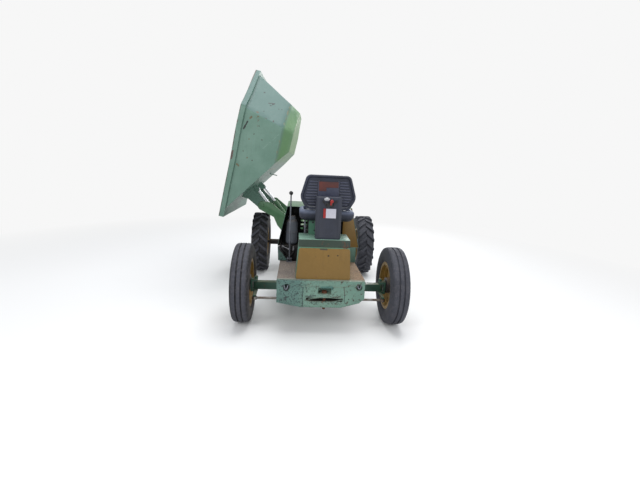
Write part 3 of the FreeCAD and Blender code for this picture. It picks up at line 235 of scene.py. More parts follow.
def paint(name, colour, faded, chips=0.6, wear=0.5, dust=0.3, under=DARK_RUST, dents=0.0, gloss=0.45, extra=None,
          flakes=16, rust=RUST):
    """Old machine paint: fading in patches, chips down to rust, worn edges, dust on top.
    Where there is an extra, it takes the finish and the colour, and returns the colour with its own marks."""
    f = Finish(name)
    patches = f.band(f.noise(2.4, 5, 0.6), 0.35, 0.65)
    fine = f.noise(38, 6, 0.7)
    colour = f.mix(patches, colour, faded)
    colour = f.mix(f.band(fine, 0.3, 0.75, 0.0, 0.35), colour, tuple(c * 0.72 for c in faded))
    streaks = f.noise(9, 5, 0.65, f.stretched((4, 4, 0.5)))
    colour = f.mix(f.band(streaks, 0.55, 0.8, 0.0, 0.45), colour, tuple(c * 0.6 for c in faded))
    flake = f.noise(flakes, 9, 0.62, distortion=0.6)
    limit = 0.78 - 0.2 * chips
    chipped = f.band(flake, limit, limit + 0.02)
    if wear:
        ragged = f.math("MULTIPLY", f.edges(0.004 + 0.004 * wear), f.band(f.noise(24, 6, 0.7), 0.62 - 0.3 * wear, 0.7))
        chipped = f.math("MAXIMUM", chipped, ragged, clamp=True)
    bare = f.mix(f.band(f.noise(60, 5, 0.7), 0.35, 0.65), under, rust)
    halo = f.band(flake, limit - 0.05, limit)
    colour = f.mix(f.math("MULTIPLY", halo, 0.35), colour, rust)
    colour = f.mix(chipped, colour, bare)
    if dust:
        lies = f.math("MULTIPLY", f.facing_up(), f.band(f.noise(7, 6, 0.65), 0.3, 0.7, dust * 0.4, dust), clamp=True)
        colour = f.mix(lies, colour, DUST)
    if extra:
        colour = extra(f, colour)
    roughness = f.math("MAXIMUM", f.band(fine, 0.3, 0.8, gloss - 0.1, gloss + 0.15), f.math("MULTIPLY", chipped, 0.85))
    normal = f.relief(f.math("SUBTRACT", f.math("MULTIPLY", fine, 0.25), chipped), 0.35, 0.0012)
    if dents:
        normal = f.relief(f.noise(3.1, 3, 0.5), 0.5, dents, normal)
    return f.finish(colour, roughness, normal)


def rubber(name, axle_node, floor, tread, wall):
    """Dusty rubber, with painted shade between the tread's blocks, paler on top of them, partly dust and partly painted
    light, and earthy on the side walls.
    The floor, tread and wall are distances from the axle's line."""
    f = Finish(name)
    fine = f.noise(45, 7, 0.7)
    patches = f.noise(5, 6, 0.65)
    centre = middle(axle_node)
    side = Vector((1, 0, 0))
    radius = f.near_line(centre - side, centre + side, f.place)
    colour = f.mix(f.band(patches, 0.35, 0.65), linear(24, 25, 30), linear(42, 44, 53))
    # Painted shade from the groove floor's radius inwards; the tread's top is paler, partly dust and partly painted
    # light.
    colour = f.mix(f.band(radius, floor, tread, 0.0, 0.5), linear(17, 17, 20), colour)
    colour = f.mix(f.band(radius, floor, tread, 0.0, 1.0), colour, f.mix(f.band(patches, 0.3, 0.7), linear(44, 46, 54),
                                                                        linear(66, 68, 78)))
    earthy = f.math("MULTIPLY", f.band(radius, wall, wall - 0.03), f.band(f.noise(9, 6, 0.7), 0.35, 0.7, 0.15, 0.8))
    colour = f.mix(earthy, colour, linear(74, 66, 60))
    colour = f.mix(f.band(f.noise(16, 7, 0.75), 0.5, 0.7, 0.0, 0.5), colour, linear(84, 82, 86))
    colour = f.mix(f.band(fine, 0.45, 0.7, 0.0, 0.55), colour, linear(100, 98, 104))
    normal = f.relief(fine, 0.45, 0.0015)
    return f.finish(colour, f.band(fine, 0.3, 0.7, 0.62, 0.9), normal)


def plastic(name, colour, faded, grain=0.3, roughness=0.5, dust=0.35, extra=None):
    f = Finish(name)
    patches = f.band(f.noise(6, 5, 0.6), 0.35, 0.7)
    grains = f.noise(420, 3, 0.6)
    shade = f.mix(patches, colour, faded)
    shade = f.mix(f.band(f.noise(30, 6, 0.75), 0.55, 0.85, 0.0, 0.5), shade, tuple(min(1, c * 1.7) for c in faded))
    lies = f.math("MULTIPLY", f.facing_up(), f.band(f.noise(11, 6, 0.7), 0.3, 0.75, dust * 0.5, dust))
    shade = f.mix(lies, shade, linear(140, 142, 148))
    if extra:
        shade = extra(f, shade)
    normal = f.relief(grains, grain, 0.0006)
    return f.finish(shade, f.band(patches, 0, 1, roughness, roughness + 0.18), normal)


def metal(name, colour, worn, roughness, metallic=0.85, scale=22):
    f = Finish(name)
    marks = f.noise(scale, 6, 0.65)
    shade = f.mix(f.band(marks, 0.4, 0.65), colour, worn)
    normal = f.relief(f.noise(scale * 6, 4, 0.6), 0.2, 0.0006)
    return f.finish(shade, f.band(marks, 0.3, 0.7, roughness, roughness + 0.25), normal, metallic)


def grime_and_shade(name, colour, oily, scale=14):
    """Black, oily surface with dust stuck to it; as the inside finish it is painted shade."""
    f = Finish(name)
    wet = f.band(f.noise(scale, 6, 0.65), 0.4, 0.6)
    shade = f.mix(wet, colour, oily)
    shade = f.mix(f.math("MULTIPLY", f.facing_up(), 0.35), shade, linear(92, 84, 74))
    normal = f.relief(f.noise(scale * 5, 5, 0.7), 0.5, 0.002)
    return f.finish(shade, f.band(wet, 0, 1, 0.75, 0.35), normal)


def dusty_plate():
    """Deck plate: paint gone to rust, under trodden dust."""
    f = Finish("trodden_deck")
    mud = f.noise(7, 8, 0.65)
    shade = f.mix(f.band(mud, 0.35, 0.62), linear(122, 106, 92), linear(168, 146, 120))
    shade = f.mix(f.band(f.noise(3, 5, 0.6), 0.5, 0.75, 0.0, 0.7), shade, linear(128, 88, 62))
    sideways = f.along(Vector((1, 0, 0)), VEHICLE.translation)
    shade = f.mix(f.band(sideways, 0.05, -0.15, 0.0, 0.75), shade, linear(112, 106, 104))
    shade = f.mix(f.band(sideways, 0.22, 0.30, 0.0, 0.6), shade, linear(138, 108, 80))
    shade = f.mix(f.band(f.noise(60, 6, 0.75), 0.48, 0.62, 0.0, 0.8), shade, linear(84, 76, 70))
    shade = f.mix(f.band(f.noise(95, 5, 0.75), 0.56, 0.68, 0.0, 0.7), shade, linear(186, 176, 164))
    backwards = f.along(Vector((0, -1, 0)), VEHICLE.translation)
    shade = f.mix(f.band(backwards, 0.262, 0.274, 0.0, 0.6), shade, linear(150, 158, 148))
    green = f.band(f.noise(12, 8, 0.6, distortion=0.8), 0.66, 0.7)
    shade = f.mix(green, shade, linear(104, 132, 112))
    return f.finish(shade, 0.9, f.relief(f.noise(55, 8, 0.75), 0.6, 0.003))


# Marks on the skip, in its own frame.

# The first colour is painted shade: black for holes, slots and slits in the plates.
HOLE_SHADE, TAN, PALE = linear(12, 12, 12), linear(150, 132, 98), linear(158, 184, 170)
BROWN, MAROON = linear(102, 84, 54), linear(84, 56, 52)
SKIP_MARKS = [
    # start, end, half width, colour, strength
    ((-0.457, -1.307, 0.253), (-0.457, -1.307, 0.253), 0.010, HOLE_SHADE, 1.0),
    ((-0.532, -1.165, 0.039), (-0.532, -1.165, 0.039), 0.009, HOLE_SHADE, 1.0),
    ((-0.520, -1.170, 0.006), (-0.520, -1.170, 0.006), 0.008, HOLE_SHADE, 1.0),
    ((-0.631, -1.090, 0.183), (-0.631, -1.090, 0.183), 0.009, HOLE_SHADE, 1.0),
    ((-0.531, -1.200, 0.165), (-0.503, -1.215, 0.101), 0.009, HOLE_SHADE, 0.95),
    ((-0.503, -1.215, 0.101), (-0.549, -1.174, 0.145), 0.009, HOLE_SHADE, 0.95),
    ((-0.675, -1.053, 0.237), (-0.675, -1.053, 0.245), 0.014, BROWN, 0.85),
    ((-0.695, -0.986, 0.292), (-0.695, -0.970, 0.300), 0.012, BROWN, 0.85),
    ((-0.693, -1.010, 0.224), (-0.693, -1.010, 0.224), 0.011, BROWN, 0.85),
    ((-0.687, -0.749, 0.270), (-0.687, -0.749, 0.270), 0.010, BROWN, 0.85),
    ((-0.680, -0.544, 0.250), (-0.680, -0.544, 0.250), 0.011, BROWN, 0.85),
    ((-0.680, -0.444, 0.345), (-0.679, -0.432, 0.325), 0.012, BROWN, 0.85),
    ((-0.694, -0.928, 0.325), (-0.692, -0.845, 0.350), 0.011, HOLE_SHADE, 0.95),
    ((-0.668, -1.012, 0.051), (-0.668, -1.000, 0.051), 0.011, DARK_RUST, 0.9),
    ((-0.677, -0.526, 0.188), (-0.677, -0.526, 0.188), 0.010, DARK_RUST, 0.9),
    ((-0.685, -0.573, 0.400), (-0.685, -0.560, 0.400), 0.012, DARK_RUST, 0.9),
    ((-0.689, -0.914, 0.192), (-0.689, -0.914, 0.192), 0.009, DARK_RUST, 0.85),
    ((-0.682, -1.018, 0.136), (-0.682, -1.018, 0.136), 0.009, DARK_RUST, 0.85),
    ((-0.687, -0.816, 0.227), (-0.687, -0.816, 0.227), 0.009, DARK_RUST, 0.85),
    ((-0.683, -0.776, 0.127), (-0.683, -0.776, 0.127), 0.009, DARK_RUST, 0.85),
    ((-0.683, -0.603, 0.308), (-0.683, -0.603, 0.308), 0.009, DARK_RUST, 0.85),
    ((-0.695, -0.575, 0.415), (-0.695, -0.495, 0.415), 0.018, MAROON, 0.95),
    ((-0.593, -0.466, -0.008), (0.003, -0.481, -0.018), 0.014, TAN, 0.45),
    ((-0.680, -0.879, -0.041), (-0.679, -0.686, 0.098), 0.006, PALE, 0.2),
]
FOLD_HEIGHT, RIM_HEIGHT = -0.066, 0.431
MOSS, LEAF, PAINTED_SKY_TINT, RIM_RUST = linear(98, 142, 90), linear(116, 148, 94), linear(74, 108, 102), linear(76, 52, 40)


def skip_wear(f, colour):
    """Painted sky light on faces that look up, lighter yellow-green lower plates that are partly yellowed paint and
    partly painted light, painted sunlight on the floor plate, a rusty rim edge and the marks that show in the
    photograph.
    """
    height = f.along(SKIP.col[2].to_3d(), SKIP.translation)
    # Painted sky light: faces that look up take a darker, bluer green.
    colour = f.mix(f.facing_up(0.1, 0.5), colour, PAINTED_SKY_TINT)
    # Below the fold, lighter yellow-green: partly yellowed paint, partly painted light on the lower plates' other
    # slope.
    low = f.math("MULTIPLY", f.band(height, FOLD_HEIGHT, FOLD_HEIGHT - 0.03),
                 f.band(f.noise(3, 5, 0.6), 0.3, 0.6, 0.6, 0.95))
    colour = f.mix(low, colour, MOSS)
    # Painted sunlight: the floor plate's outer faces take a lighter yellow-green.
    floor = f.math("MULTIPLY", f.facing(-SKIP.col[2].to_3d(), 0.9, 0.97), f.band(height, FOLD_HEIGHT + 0.02, FOLD_HEIGHT))
    colour = f.mix(f.math("MULTIPLY", floor, f.band(f.noise(5, 6, 0.65), 0.3, 0.65, 0.45, 0.95)), colour, LEAF)
    flaking = f.noise(18, 8, 0.68)
    rim = f.math("MULTIPLY", f.band(height, RIM_HEIGHT - 0.012, RIM_HEIGHT - 0.002), f.band(flaking, 0.45, 0.52, 0.0, 0.9))
    colour = f.mix(rim, colour, RIM_RUST)
    fold = f.band(f.math("ABSOLUTE", f.math("SUBTRACT", height, FOLD_HEIGHT)), 0.012, 0.004)
    colour = f.mix(f.math("MULTIPLY", fold, f.band(flaking, 0.48, 0.60, 0.0, 0.5)), colour, TAN)
    ragged = f.wobbled(55, 0.022)
    for start, stop, width, shade, strength in SKIP_MARKS:
        near = f.near_line(SKIP @ Vector(start), SKIP @ Vector(stop), ragged)
        colour = f.mix(f.band(near, width, width * 0.7, 0.0, strength), colour, shade)
    return colour


# Marks on the rear beam and the yellow plate, as places across and up in the vehicle frame.

SLATE, TEAL = linear(44, 52, 52), linear(58, 104, 98)
BEAM_MARKS = [
    # start, stop, half width, colour, strength
    ((-0.156, 0.438), (-0.160, 0.355), 0.0036, HOLE_SHADE, 0.9), ((-0.160, 0.355), (-0.156, 0.256), 0.0030, HOLE_SHADE, 0.9),
    ((0.202, 0.432), (0.209, 0.368), 0.0036, DARK_RUST, 0.8), ((0.209, 0.368), (0.210, 0.302), 0.0036, SLATE, 0.8),
    ((-0.303, 0.428), (-0.303, 0.420), 0.031, HOLE_SHADE, 0.9), ((0.334, 0.444), (0.334, 0.438), 0.030, HOLE_SHADE, 0.9),
    ((0.012, 0.424), (0.088, 0.428), 0.024, TEAL, 0.8), ((0.019, 0.401), (0.028, 0.401), 0.009, RUST, 0.9),
    ((-0.050, 0.320), (0.115, 0.323), 0.014, HOLE_SHADE, 0.95), ((-0.122, 0.319), (0.190, 0.329), 0.007, HOLE_SHADE, 0.95),
    ((0.006, 0.318), (0.020, 0.300), 0.006, RUST, 0.8), ((0.246, 0.331), (0.246, 0.331), 0.007, HOLE_SHADE, 0.8),
    ((-0.320, 0.330), (-0.280, 0.345), 0.006, SLATE, 0.8), ((-0.300, 0.300), (-0.305, 0.350), 0.005, SLATE, 0.8),
    ((0.105, 0.345), (0.160, 0.352), 0.006, DARK_RUST, 0.7), ((-0.090, 0.352), (-0.050, 0.360), 0.008, SLATE, 0.7),
]
PLATE_MARKS = [
    ((0.050, 0.715), (0.053, 0.714), 0.0075, HOLE_SHADE, 0.95), ((0.130, 0.719), (0.133, 0.718), 0.0070, HOLE_SHADE, 0.95),
    ((-0.056, 0.703), (-0.056, 0.703), 0.004, DARK_RUST, 0.7), ((-0.018, 0.772), (0.034, 0.770), 0.008, SLATE, 0.85),
]


def marked(f, colour, marks, rear, ragged):
    """Marks on a plate that faces backwards."""
    place = f.wobbled(70, ragged)
    for (x, z), (other_x, other_z), width, shade, strength in marks:
        start, stop = (VEHICLE @ Vector(point) for point in ((x, rear, z), (other_x, rear, other_z)))
        colour = f.mix(f.band(f.near_line(start, stop, place), width, width * 0.7, 0.0, strength), colour, shade)
    return colour


def beam_wear(f, colour):
    """Duller and bluer left end, pale right end, weld stains and the slot, painted dark as its shade."""
    sideways = f.along(Vector((1, 0, 0)), VEHICLE.translation)
    colour = f.mix(f.band(sideways, -0.12, -0.20, 0.0, 0.6), colour, linear(70, 104, 102))
    slot_ends = (VEHICLE @ Vector((x, -0.300, 0.330)) for x in (-0.09, 0.14))
    worn = f.math("MAXIMUM", f.band(sideways, 0.15, -0.25, 0.1, 0.9),
                  f.band(f.near_line(*slot_ends, f.place), 0.085, 0.035, 0.0, 0.9))
    specks = f.math("MULTIPLY", f.band(f.noise(70, 6, 0.75), 0.53, 0.57), worn)
    colour = f.mix(specks, colour, SLATE)
    return marked(f, colour, BEAM_MARKS, -0.300, 0.012)


def plate_wear(f, colour):
    return marked(f, colour, PLATE_MARKS, -0.282, 0.004)


def pale_top(f, colour):
    return f.mix(f.facing_up(0.4, 0.8), colour, MINT_FADED)


def pan_light_and_shade(f, colour):
    """Painted highlight on top of the seat pan's rolled edge, painted shade below it."""
    height = f.along(Vector((0, 0, 1)), Vector())
    top = f.math("MULTIPLY", f.band(height, 1.040, 1.066), f.band(height, 1.100, 1.086, 0.0, 0.75))
    colour = f.mix(top, colour, linear(100, 110, 134))
    return f.mix(f.band(height, 1.036, 1.004, 0.0, 0.7), colour, linear(26, 28, 38))


MINT = linear(98, 134, 120)
MINT_FADED = linear(120, 154, 138)
finishes = {
    "skip": paint("skip_paint", linear(92, 128, 112), linear(116, 148, 134), chips=0.3, wear=0.0, dust=0.1, dents=0.02,
                  extra=skip_wear),
    "skip_inside": paint("scraped_skip", linear(110, 104, 92), linear(138, 128, 110), chips=0.95, wear=0.6, dust=0.5,
                         under=linear(92, 60, 42), dents=0.02),
    "beam": paint("chipped_beam", MINT, MINT_FADED, chips=0.9, wear=0.9, dust=0.35, under=SLATE, extra=beam_wear,
                  flakes=36, rust=linear(84, 66, 54)),
    "frame": paint("frame_paint", linear(62, 110, 88), linear(88, 136, 112), chips=0.7, wear=0.8, dust=0.3,
                   under=linear(48, 46, 42)),
    "axle": paint("axle_paint", linear(40, 76, 62), linear(58, 98, 82), chips=0.7, wear=0.8, dust=0.3),
    "arm": paint("arm_paint", linear(62, 106, 72), linear(84, 124, 88), chips=0.35, wear=0.7, dust=0.25),
    "plinth": paint("plinth_paint", linear(30, 46, 37), linear(46, 64, 53), chips=0.8, wear=0.9, dust=0.15,
                    extra=pale_top),
    "yellow": paint("ochre_paint", linear(124, 95, 38), linear(132, 101, 44), chips=0.25, wear=0.4, dust=0.1,
                    extra=plate_wear),
    "rim": paint("rim_paint", linear(148, 114, 50), linear(164, 132, 70), chips=0.7, wear=0.7, dust=0.3),
    "black": paint("black_paint", linear(38, 38, 42), linear(56, 56, 60), chips=0.8, wear=0.8, dust=0.4,
                   under=linear(70, 60, 52)),
    "deck": dusty_plate(),
    "ribbed": rubber("ribbed_tyre", "rear_left_hub", 0.357, 0.366, 0.345),
    "lugged": rubber("lugged_tyre", "front_left_hub", 0.378, 0.397, 0.355),
    "plastic": plastic("faded_plastic", linear(30, 34, 47), linear(44, 49, 66), dust=0.85,
                       extra=pan_light_and_shade),
    # Painted highlight: the back's ribs take a lighter copy of the seat plastic.
    "rib": plastic("rib_plastic_highlight", linear(54, 58, 76), linear(70, 74, 94), dust=0.85),
    "cover": plastic("cover_plastic", linear(34, 38, 50), linear(46, 50, 64), grain=0.2, dust=0.1),
    "stain": plastic("faded_stain", linear(96, 44, 36), linear(58, 42, 44), dust=0.1),
    "red": plastic("red_plastic", linear(170, 38, 36), linear(140, 36, 34), grain=0.1, dust=0.1),
    "label": plastic("blank_label", linear(206, 204, 214), linear(188, 188, 200), grain=0.05, dust=0.1),
    "vinyl": plastic("worn_vinyl", linear(34, 36, 42), linear(46, 48, 56), grain=0.5, roughness=0.42, dust=0.3),
    "knob": plastic("black_knob", linear(16, 16, 18), linear(26, 26, 28), grain=0.1, roughness=0.25, dust=0.1),
    "canister": paint("canister_paint", linear(82, 87, 95), linear(104, 109, 118), chips=0.35, wear=0.3, dust=0.5),
    "lever": metal("grey_lever", linear(128, 132, 142), linear(96, 98, 104), 0.4, metallic=0.6),
    "steel": metal("worn_steel", linear(130, 128, 124), linear(96, 78, 64), 0.35),
    "silver": metal("silver_handle", linear(196, 198, 202), linear(150, 150, 154), 0.25, metallic=0.5),
    "rusty": metal("rusty_steel", RUST, linear(74, 52, 42), 0.7, metallic=0.2),
    "chrome": metal("chrome", linear(226, 228, 230), linear(206, 208, 210), 0.22, metallic=1.0, scale=5),
    "engine": grime_and_shade("oily_engine", linear(30, 30, 32), linear(14, 14, 15)),
    # Painted shade: the black that lines the insides of the hood, the engine bay and the beam's slot.
    "inside": grime_and_shade("bay_painted_shade", linear(22, 23, 23), linear(12, 12, 13)),
}


def dress(node, finish):
    """Give a CAD node its finish."""
    slots = frame["nodes"][node].data.materials
    slots.clear()
    slots.append(finishes[finish])


DRESSED = [
    # finish, the nodes that it goes to
    ("ribbed", ("rear_left_tyre", "rear_right_tyre")),
    ("lugged", ("front_left_tyre", "front_right_tyre")),
    ("rim", ("rear_left_rim", "rear_right_rim", "front_left_rim", "front_right_rim")),
    ("black", ("rear_left_hub", "rear_right_hub", "front_left_hub", "front_right_hub", "front_axle",
               "axle_saddles",
               "steering_column", "turntable_ring")),
    ("axle", ("rear_axle", "knuckle_left", "knuckle_right")),
    ("frame", ("chassis_frame", "seat_box", "engine_bay_base", "hood", "hood_front_panel",
               "seat_stand")),
    ("beam", ("rear_beam",)),
    ("deck", ("deck",)),
    ("yellow", ("seat_box_panel", "hood_rear_panel")),
    ("plinth", ("seat_plinth",)),
    ("plastic", ("seat_column", "seat_shell")),
    ("vinyl", ("seat_cushion", "back_cushion")),
    ("engine", ("engine", "gearbox")),
    ("canister", ("air_cleaner",)),
    ("knob", ("lever_knob", "steering_wheel")),
    ("lever", ("control_lever",)),
    ("steel", ("track_rod",)),
    ("rusty", ("tow_pin",)),
    ("arm", ("swivel_frame", "ram_barrels")),
    ("chrome", ("ram_rods",)),
    ("skip", ("skip",)),
]
for finish, nodes in DRESSED:
    for node in nodes:
        dress(node, finish)


# Shapes. Each build function fills a bmesh in its own frame, and piece() puts it in its place.


def added(bm, make, *rest, **more):
    """The vertices that make() adds to the bmesh."""
    before = set(bm.verts)
    make(bm, *rest, **more)
    return [vert for vert in bm.verts if vert not in before]


def block(bm, low, high, rounding=0.0, segments=2):
    low, high = Vector(low), Vector(high)
    shape = Matrix.Translation((low + high) / 2) @ Matrix.Diagonal((*(high - low), 1))
    made = bmesh.ops.create_cube(bm, size=1, matrix=shape)["verts"]
    if rounding:
        edges = {edge for vert in made for edge in vert.link_edges}
        bmesh.ops.bevel(bm, geom=list(edges), offset=rounding, segments=segments, profile=0.5,
                        affect="EDGES", material=-1)


def bar(bm, start, end, radius, segments=20, end_radius=None):
    start, end = Vector(start), Vector(end)
    run = end - start
    turn = run.to_track_quat("Z", "Y").to_matrix().to_4x4()
    bmesh.ops.create_cone(bm, cap_ends=True, segments=segments, radius1=radius,
                          radius2=radius if end_radius is None else end_radius, depth=run.length,
                          matrix=Matrix.Translation((start + end) / 2) @ turn)


def ball(bm, place, radius, segments=20):
    bmesh.ops.create_uvsphere(bm, u_segments=segments, v_segments=segments // 2, radius=radius,
                              matrix=Matrix.Translation(place))


def turned(bm, profile, segments=48, place=Matrix()):
    """A profile of (radius, height) turned about z, then placed."""
    verts = [bm.verts.new((radius, 0, height)) for radius, height in profile]
    edges = [bm.edges.new(pair) for pair in zip(verts, verts[1:])]
    made = bmesh.ops.spin(bm, geom=verts + edges, cent=(0, 0, 0), axis=(0, 0, 1), angle=math.tau,
                          steps=segments, use_merge=True, use_duplicate=False)
    whole = set(verts) | {item for item in made["geom_last"] if isinstance(item, bmesh.types.BMVert)}
    reach = set(whole)
    border = list(whole)
    while border:
        vert = border.pop()
        for edge in vert.link_edges:
            other = edge.other_vert(vert)
            if other not in reach:
                reach.add(other)
                border.append(other)
    bmesh.ops.transform(bm, matrix=place, verts=list(reach))
    bmesh.ops.remove_doubles(bm, verts=list(reach), dist=1e-6)


def pipe(bm, points, radius, sides=3):
    """Tube along a smooth line through the points' frame."""
    curve = bpy.data.curves.new("pipe", "CURVE")
    curve.dimensions = "3D"
    curve.bevel_depth = radius
    curve.bevel_resolution = sides
    curve.use_fill_caps = True
    spline = curve.splines.new("NURBS")
    spline.points.add(len(points) - 1)
    for point, place in zip(spline.points, points):
        point.co = (*place, 1)
    spline.order_u = 3
    spline.use_endpoint_u = True
    holder = bpy.data.objects.new("pipe", curve)
    mesh = bpy.data.meshes.new_from_object(holder)
    bm.from_mesh(mesh)
    bpy.data.objects.remove(holder)
    bpy.data.meshes.remove(mesh)


def crease(bm, angle):
    """Smooth shading, with sharp edges where faces meet at more than the angle."""
    for face in bm.faces:
        face.smooth = True
    for edge in bm.edges:
        if len(edge.link_faces) == 2:
            edge.smooth = edge.calc_face_angle(0.0) < math.radians(angle)


def piece(name, build, finish, body="root", place=VEHICLE, stands_for=(), angle=35, recalculate=True):
    """Make a finished piece of one or more finishes, riding on a body."""
    bm = bmesh.new()
    build(bm)
    if recalculate:
        bmesh.ops.recalc_face_normals(bm, faces=bm.faces)
    crease(bm, angle)
    mesh = bpy.data.meshes.new(name)
    bm.to_mesh(mesh)
    bm.free()
    mesh.transform(place)
    for label in [finish] if isinstance(finish, str) else finish:
        mesh.materials.append(finishes[label])
    made = bpy.data.objects.new(name, mesh)
    bpy.context.scene.collection.objects.link(made)
    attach(made, body)
    if stands_for:
        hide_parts(*stands_for)
    return made


def with_finish(bm, index, make, *rest, **more):
    """Add a shape whose faces take the finish at that index."""
    before = set(bm.faces)
    make(bm, *rest, **more)
    for face in bm.faces:
        if face not in before:
            face.material_index = index


# Nodes whose sharp edges are eased: a merged copy with bevelled edges stands for each.


def merged_copy(bm, node):
    bm.from_mesh(frame["nodes"][node].data)
    bmesh.ops.remove_doubles(bm, verts=bm.verts, dist=1e-5)
    bmesh.ops.dissolve_limit(bm, angle_limit=math.radians(1), verts=bm.verts, edges=bm.edges)


def ease_edges(bm, width, segments=2):
    sharp = [edge for edge in bm.edges if len(edge.link_faces) == 2 and edge.calc_face_angle(0.0) > math.radians(28)]
    bmesh.ops.bevel(bm, geom=sharp, offset=width, offset_type="OFFSET", segments=segments, profile=0.5,
                    affect="EDGES", clamp_overlap=True, material=-1)


def body_of(node):
    return next(body for body, nodes in frame["record"]["behaviour"]["bodies"].items() if node in nodes)


EASED = [
    # node, width of the eased edges, finish
    ("deck", 0.002, "deck"), ("seat_box", 0.0015, "frame"),
    ("seat_plinth", 0.004, "plinth"),
    ("hood_rear_panel", 0.001, "yellow"),
    ("swivel_frame", 0.0025, "arm"), ("chassis_frame", 0.002, "frame"), ("rear_axle", 0.003, "axle"),
    ("front_axle", 0.002, "black"), ("knuckle_left", 0.002, "axle"), ("knuckle_right", 0.002, "axle"),
    ("gearbox", 0.006, "engine"),
]


def eased_node(node, width, finish):
    def build(bm):
        merged_copy(bm, node)
        ease_edges(bm, width)
    piece(node + "_form", build, finish, body_of(node), Matrix(), [node], recalculate=False)


for node, width, finish in EASED:
    eased_node(node, width, finish)


# Nodes of several finishes: each face takes the one that choose(face's middle, normal) names, in the vehicle frame.


def parted_node(node, width, labels, choose, cuts=()):
    def build(bm):
        merged_copy(bm, node)
        ease_edges(bm, width)
        for x in cuts:
            bmesh.ops.bisect_plane(bm, geom=bm.verts[:] + bm.edges[:] + bm.faces[:],
                                   plane_co=VEHICLE @ Vector((x, 0, 0)), plane_no=(1, 0, 0))
        for face in bm.faces:
            face.material_index = choose(face.calc_center_median() - VEHICLE.translation, face.normal)
    piece(node + "_form", build, labels, body_of(node), Matrix(), [node], recalculate=False)


HOOD_HEART = (in_vehicle("hood")[0] + in_vehicle("hood")[1]) / 2
BAY_SIDE, BAY_WALL, BAY_DARK_END = 0.405, 0.36, 0.10


def hood_finish(place, normal):
    """Black inside as painted shade, and worn bright along the open rear edge."""
    if normal.y < -0.9:
        return 2
    inwards = HOOD_HEART - place
    inwards.y = 0
    return 1 if normal.dot(inwards.normalized()) > 0.3 else 0


def bay_finish(place, normal):
    """Black painted shade inside and on the rear plate's left, with bright worn edges."""
    if normal.y < -0.5 and (abs(place.x) > BAY_SIDE or place.x > BAY_DARK_END):
        return 2
    outside = normal.x * place.x > 0.5 * BAY_WALL and abs(place.x) > BAY_WALL
    return 0 if outside or normal.y > 0.5 else 1


def beam_finish(place, normal):
    """Black inside the slot as painted shade, painted elsewhere."""
    return 1 if -0.295 < place.y < -0.201 and abs(place.x) < 0.36 and 0.262 < place.z < 0.370 else 0


parted_node("hood", 0.0018, ("frame", "inside", "beam"), hood_finish)
parted_node("engine_bay_base", 0.0015, ("frame", "inside", "beam"), bay_finish, (BAY_DARK_END,))
# The panel's faces towards the rear, into the bay, take the black finish as painted shade.
parted_node("hood_front_panel", 0.001, ("frame", "inside"), lambda place, normal: int(normal.y < 0))
parted_node("rear_beam", 0.003, ("beam", "inside"), beam_finish)


# Skip: plates with shallow dents, black-brown scraped inside.

DENT_DEPTH = 0.009
DENT_SCALE = 2.6
DENT_GRID = 0.09
BORE_RADIUS, BORE_PLAY = 0.0205, 1.03


def dented(point):
    """How far a point of the skip frame is pushed by dents. None near the hinge brackets, and none
    downwards in the lower plates, which come down on the swivel frame's posts."""
    calm = min(1.0, max(0.0, (point.yz.length - 0.34) / 0.3))
    push = noise.noise_vector(point * DENT_SCALE)
    if point.z < FOLD_HEIGHT + 0.05:
        push.z = abs(push.z)
    return push * (DENT_DEPTH * calm)


def skip(bm):
    merged_copy(bm, "skip")
    ease_edges(bm, 0.0022, 1)
    bmesh.ops.transform(bm, matrix=SKIP.inverted(), verts=bm.verts)
    low = Vector([min(vert.co[axis] for vert in bm.verts) for axis in range(3)])
    high = Vector([max(vert.co[axis] for vert in bm.verts) for axis in range(3)])
    for axis in range(3):
        normal = Vector([float(axis == other) for other in range(3)])
        for step in range(1, int((high[axis] - low[axis]) / DENT_GRID)):
            cut = normal * (low[axis] + step * DENT_GRID)
            bmesh.ops.bisect_plane(bm, geom=bm.verts[:] + bm.edges[:] + bm.faces[:], plane_co=cut, plane_no=normal)
    heart = Vector((0, (low.y + high.y) / 2 - 0.25, high.z + 0.2))
    bm.normal_update()
    tree = BVHTree.FromBMesh(bm)
    for face in bm.faces:
        place = face.calc_center_median()
        way = (heart - place).normalized()
        inside = place.z < high.z - 0.004 and face.normal.dot(way) > 0.15
        if inside and tree.ray_cast(place + face.normal * 0.002, way)[0] is None:
            face.material_index = 1
    for vert in bm.verts:
        if vert.co.yz.length < BORE_RADIUS:
            vert.co = Vector((vert.co.x, vert.co.y * BORE_PLAY, vert.co.z * BORE_PLAY))
        else:
            vert.co += dented(vert.co)
    bmesh.ops.transform(bm, matrix=SKIP, verts=bm.verts)


piece("skip_form", skip, ("skip", "skip_inside"), "skip", Matrix(), ["skip"], angle=25, recalculate=False)


# Wheels. Each wheel's frame has z outwards along its axle and x upwards.

WHEELS = []
for axle_name in ("rear", "front"):
    for side, sign in SIDES:
        name = axle_name + "_" + side
        centre = middle(name + "_tyre")
        out = Matrix.Translation(centre) @ Matrix.Rotation(math.pi / 2, 4, "Y")
        WHEELS.append((name, axle_name, out if sign > 0 else out @ Matrix.Scale(-1, 4, (0, 0, 1))))


def smooth_line(points, steps=5):
    """Points along a quadratic spline that starts and ends at the first and last point."""
    points = [Vector(point) for point in points]
    middles = [(a + b) / 2 for a, b in zip(points, points[1:])]
    starts = [points[0]] + middles[1:-1] + [points[-1]]
    line = [points[0]]
    for start, corner, stop in zip(starts, points[1:-1], starts[1:]):
        for step in range(1, steps + 1):
            t = step / steps
            line.append(start * (1 - t) ** 2 + corner * 2 * t * (1 - t) + stop * t * t)
    return line


def mirrored_profile(half):
    """Whole section from its half on the outer side, given as (radius, height)."""
    return [(radius, -height) for radius, height in half] + [(radius, height) for radius, height in reversed(half)]


def closed(profile):
    return profile + profile[:1]


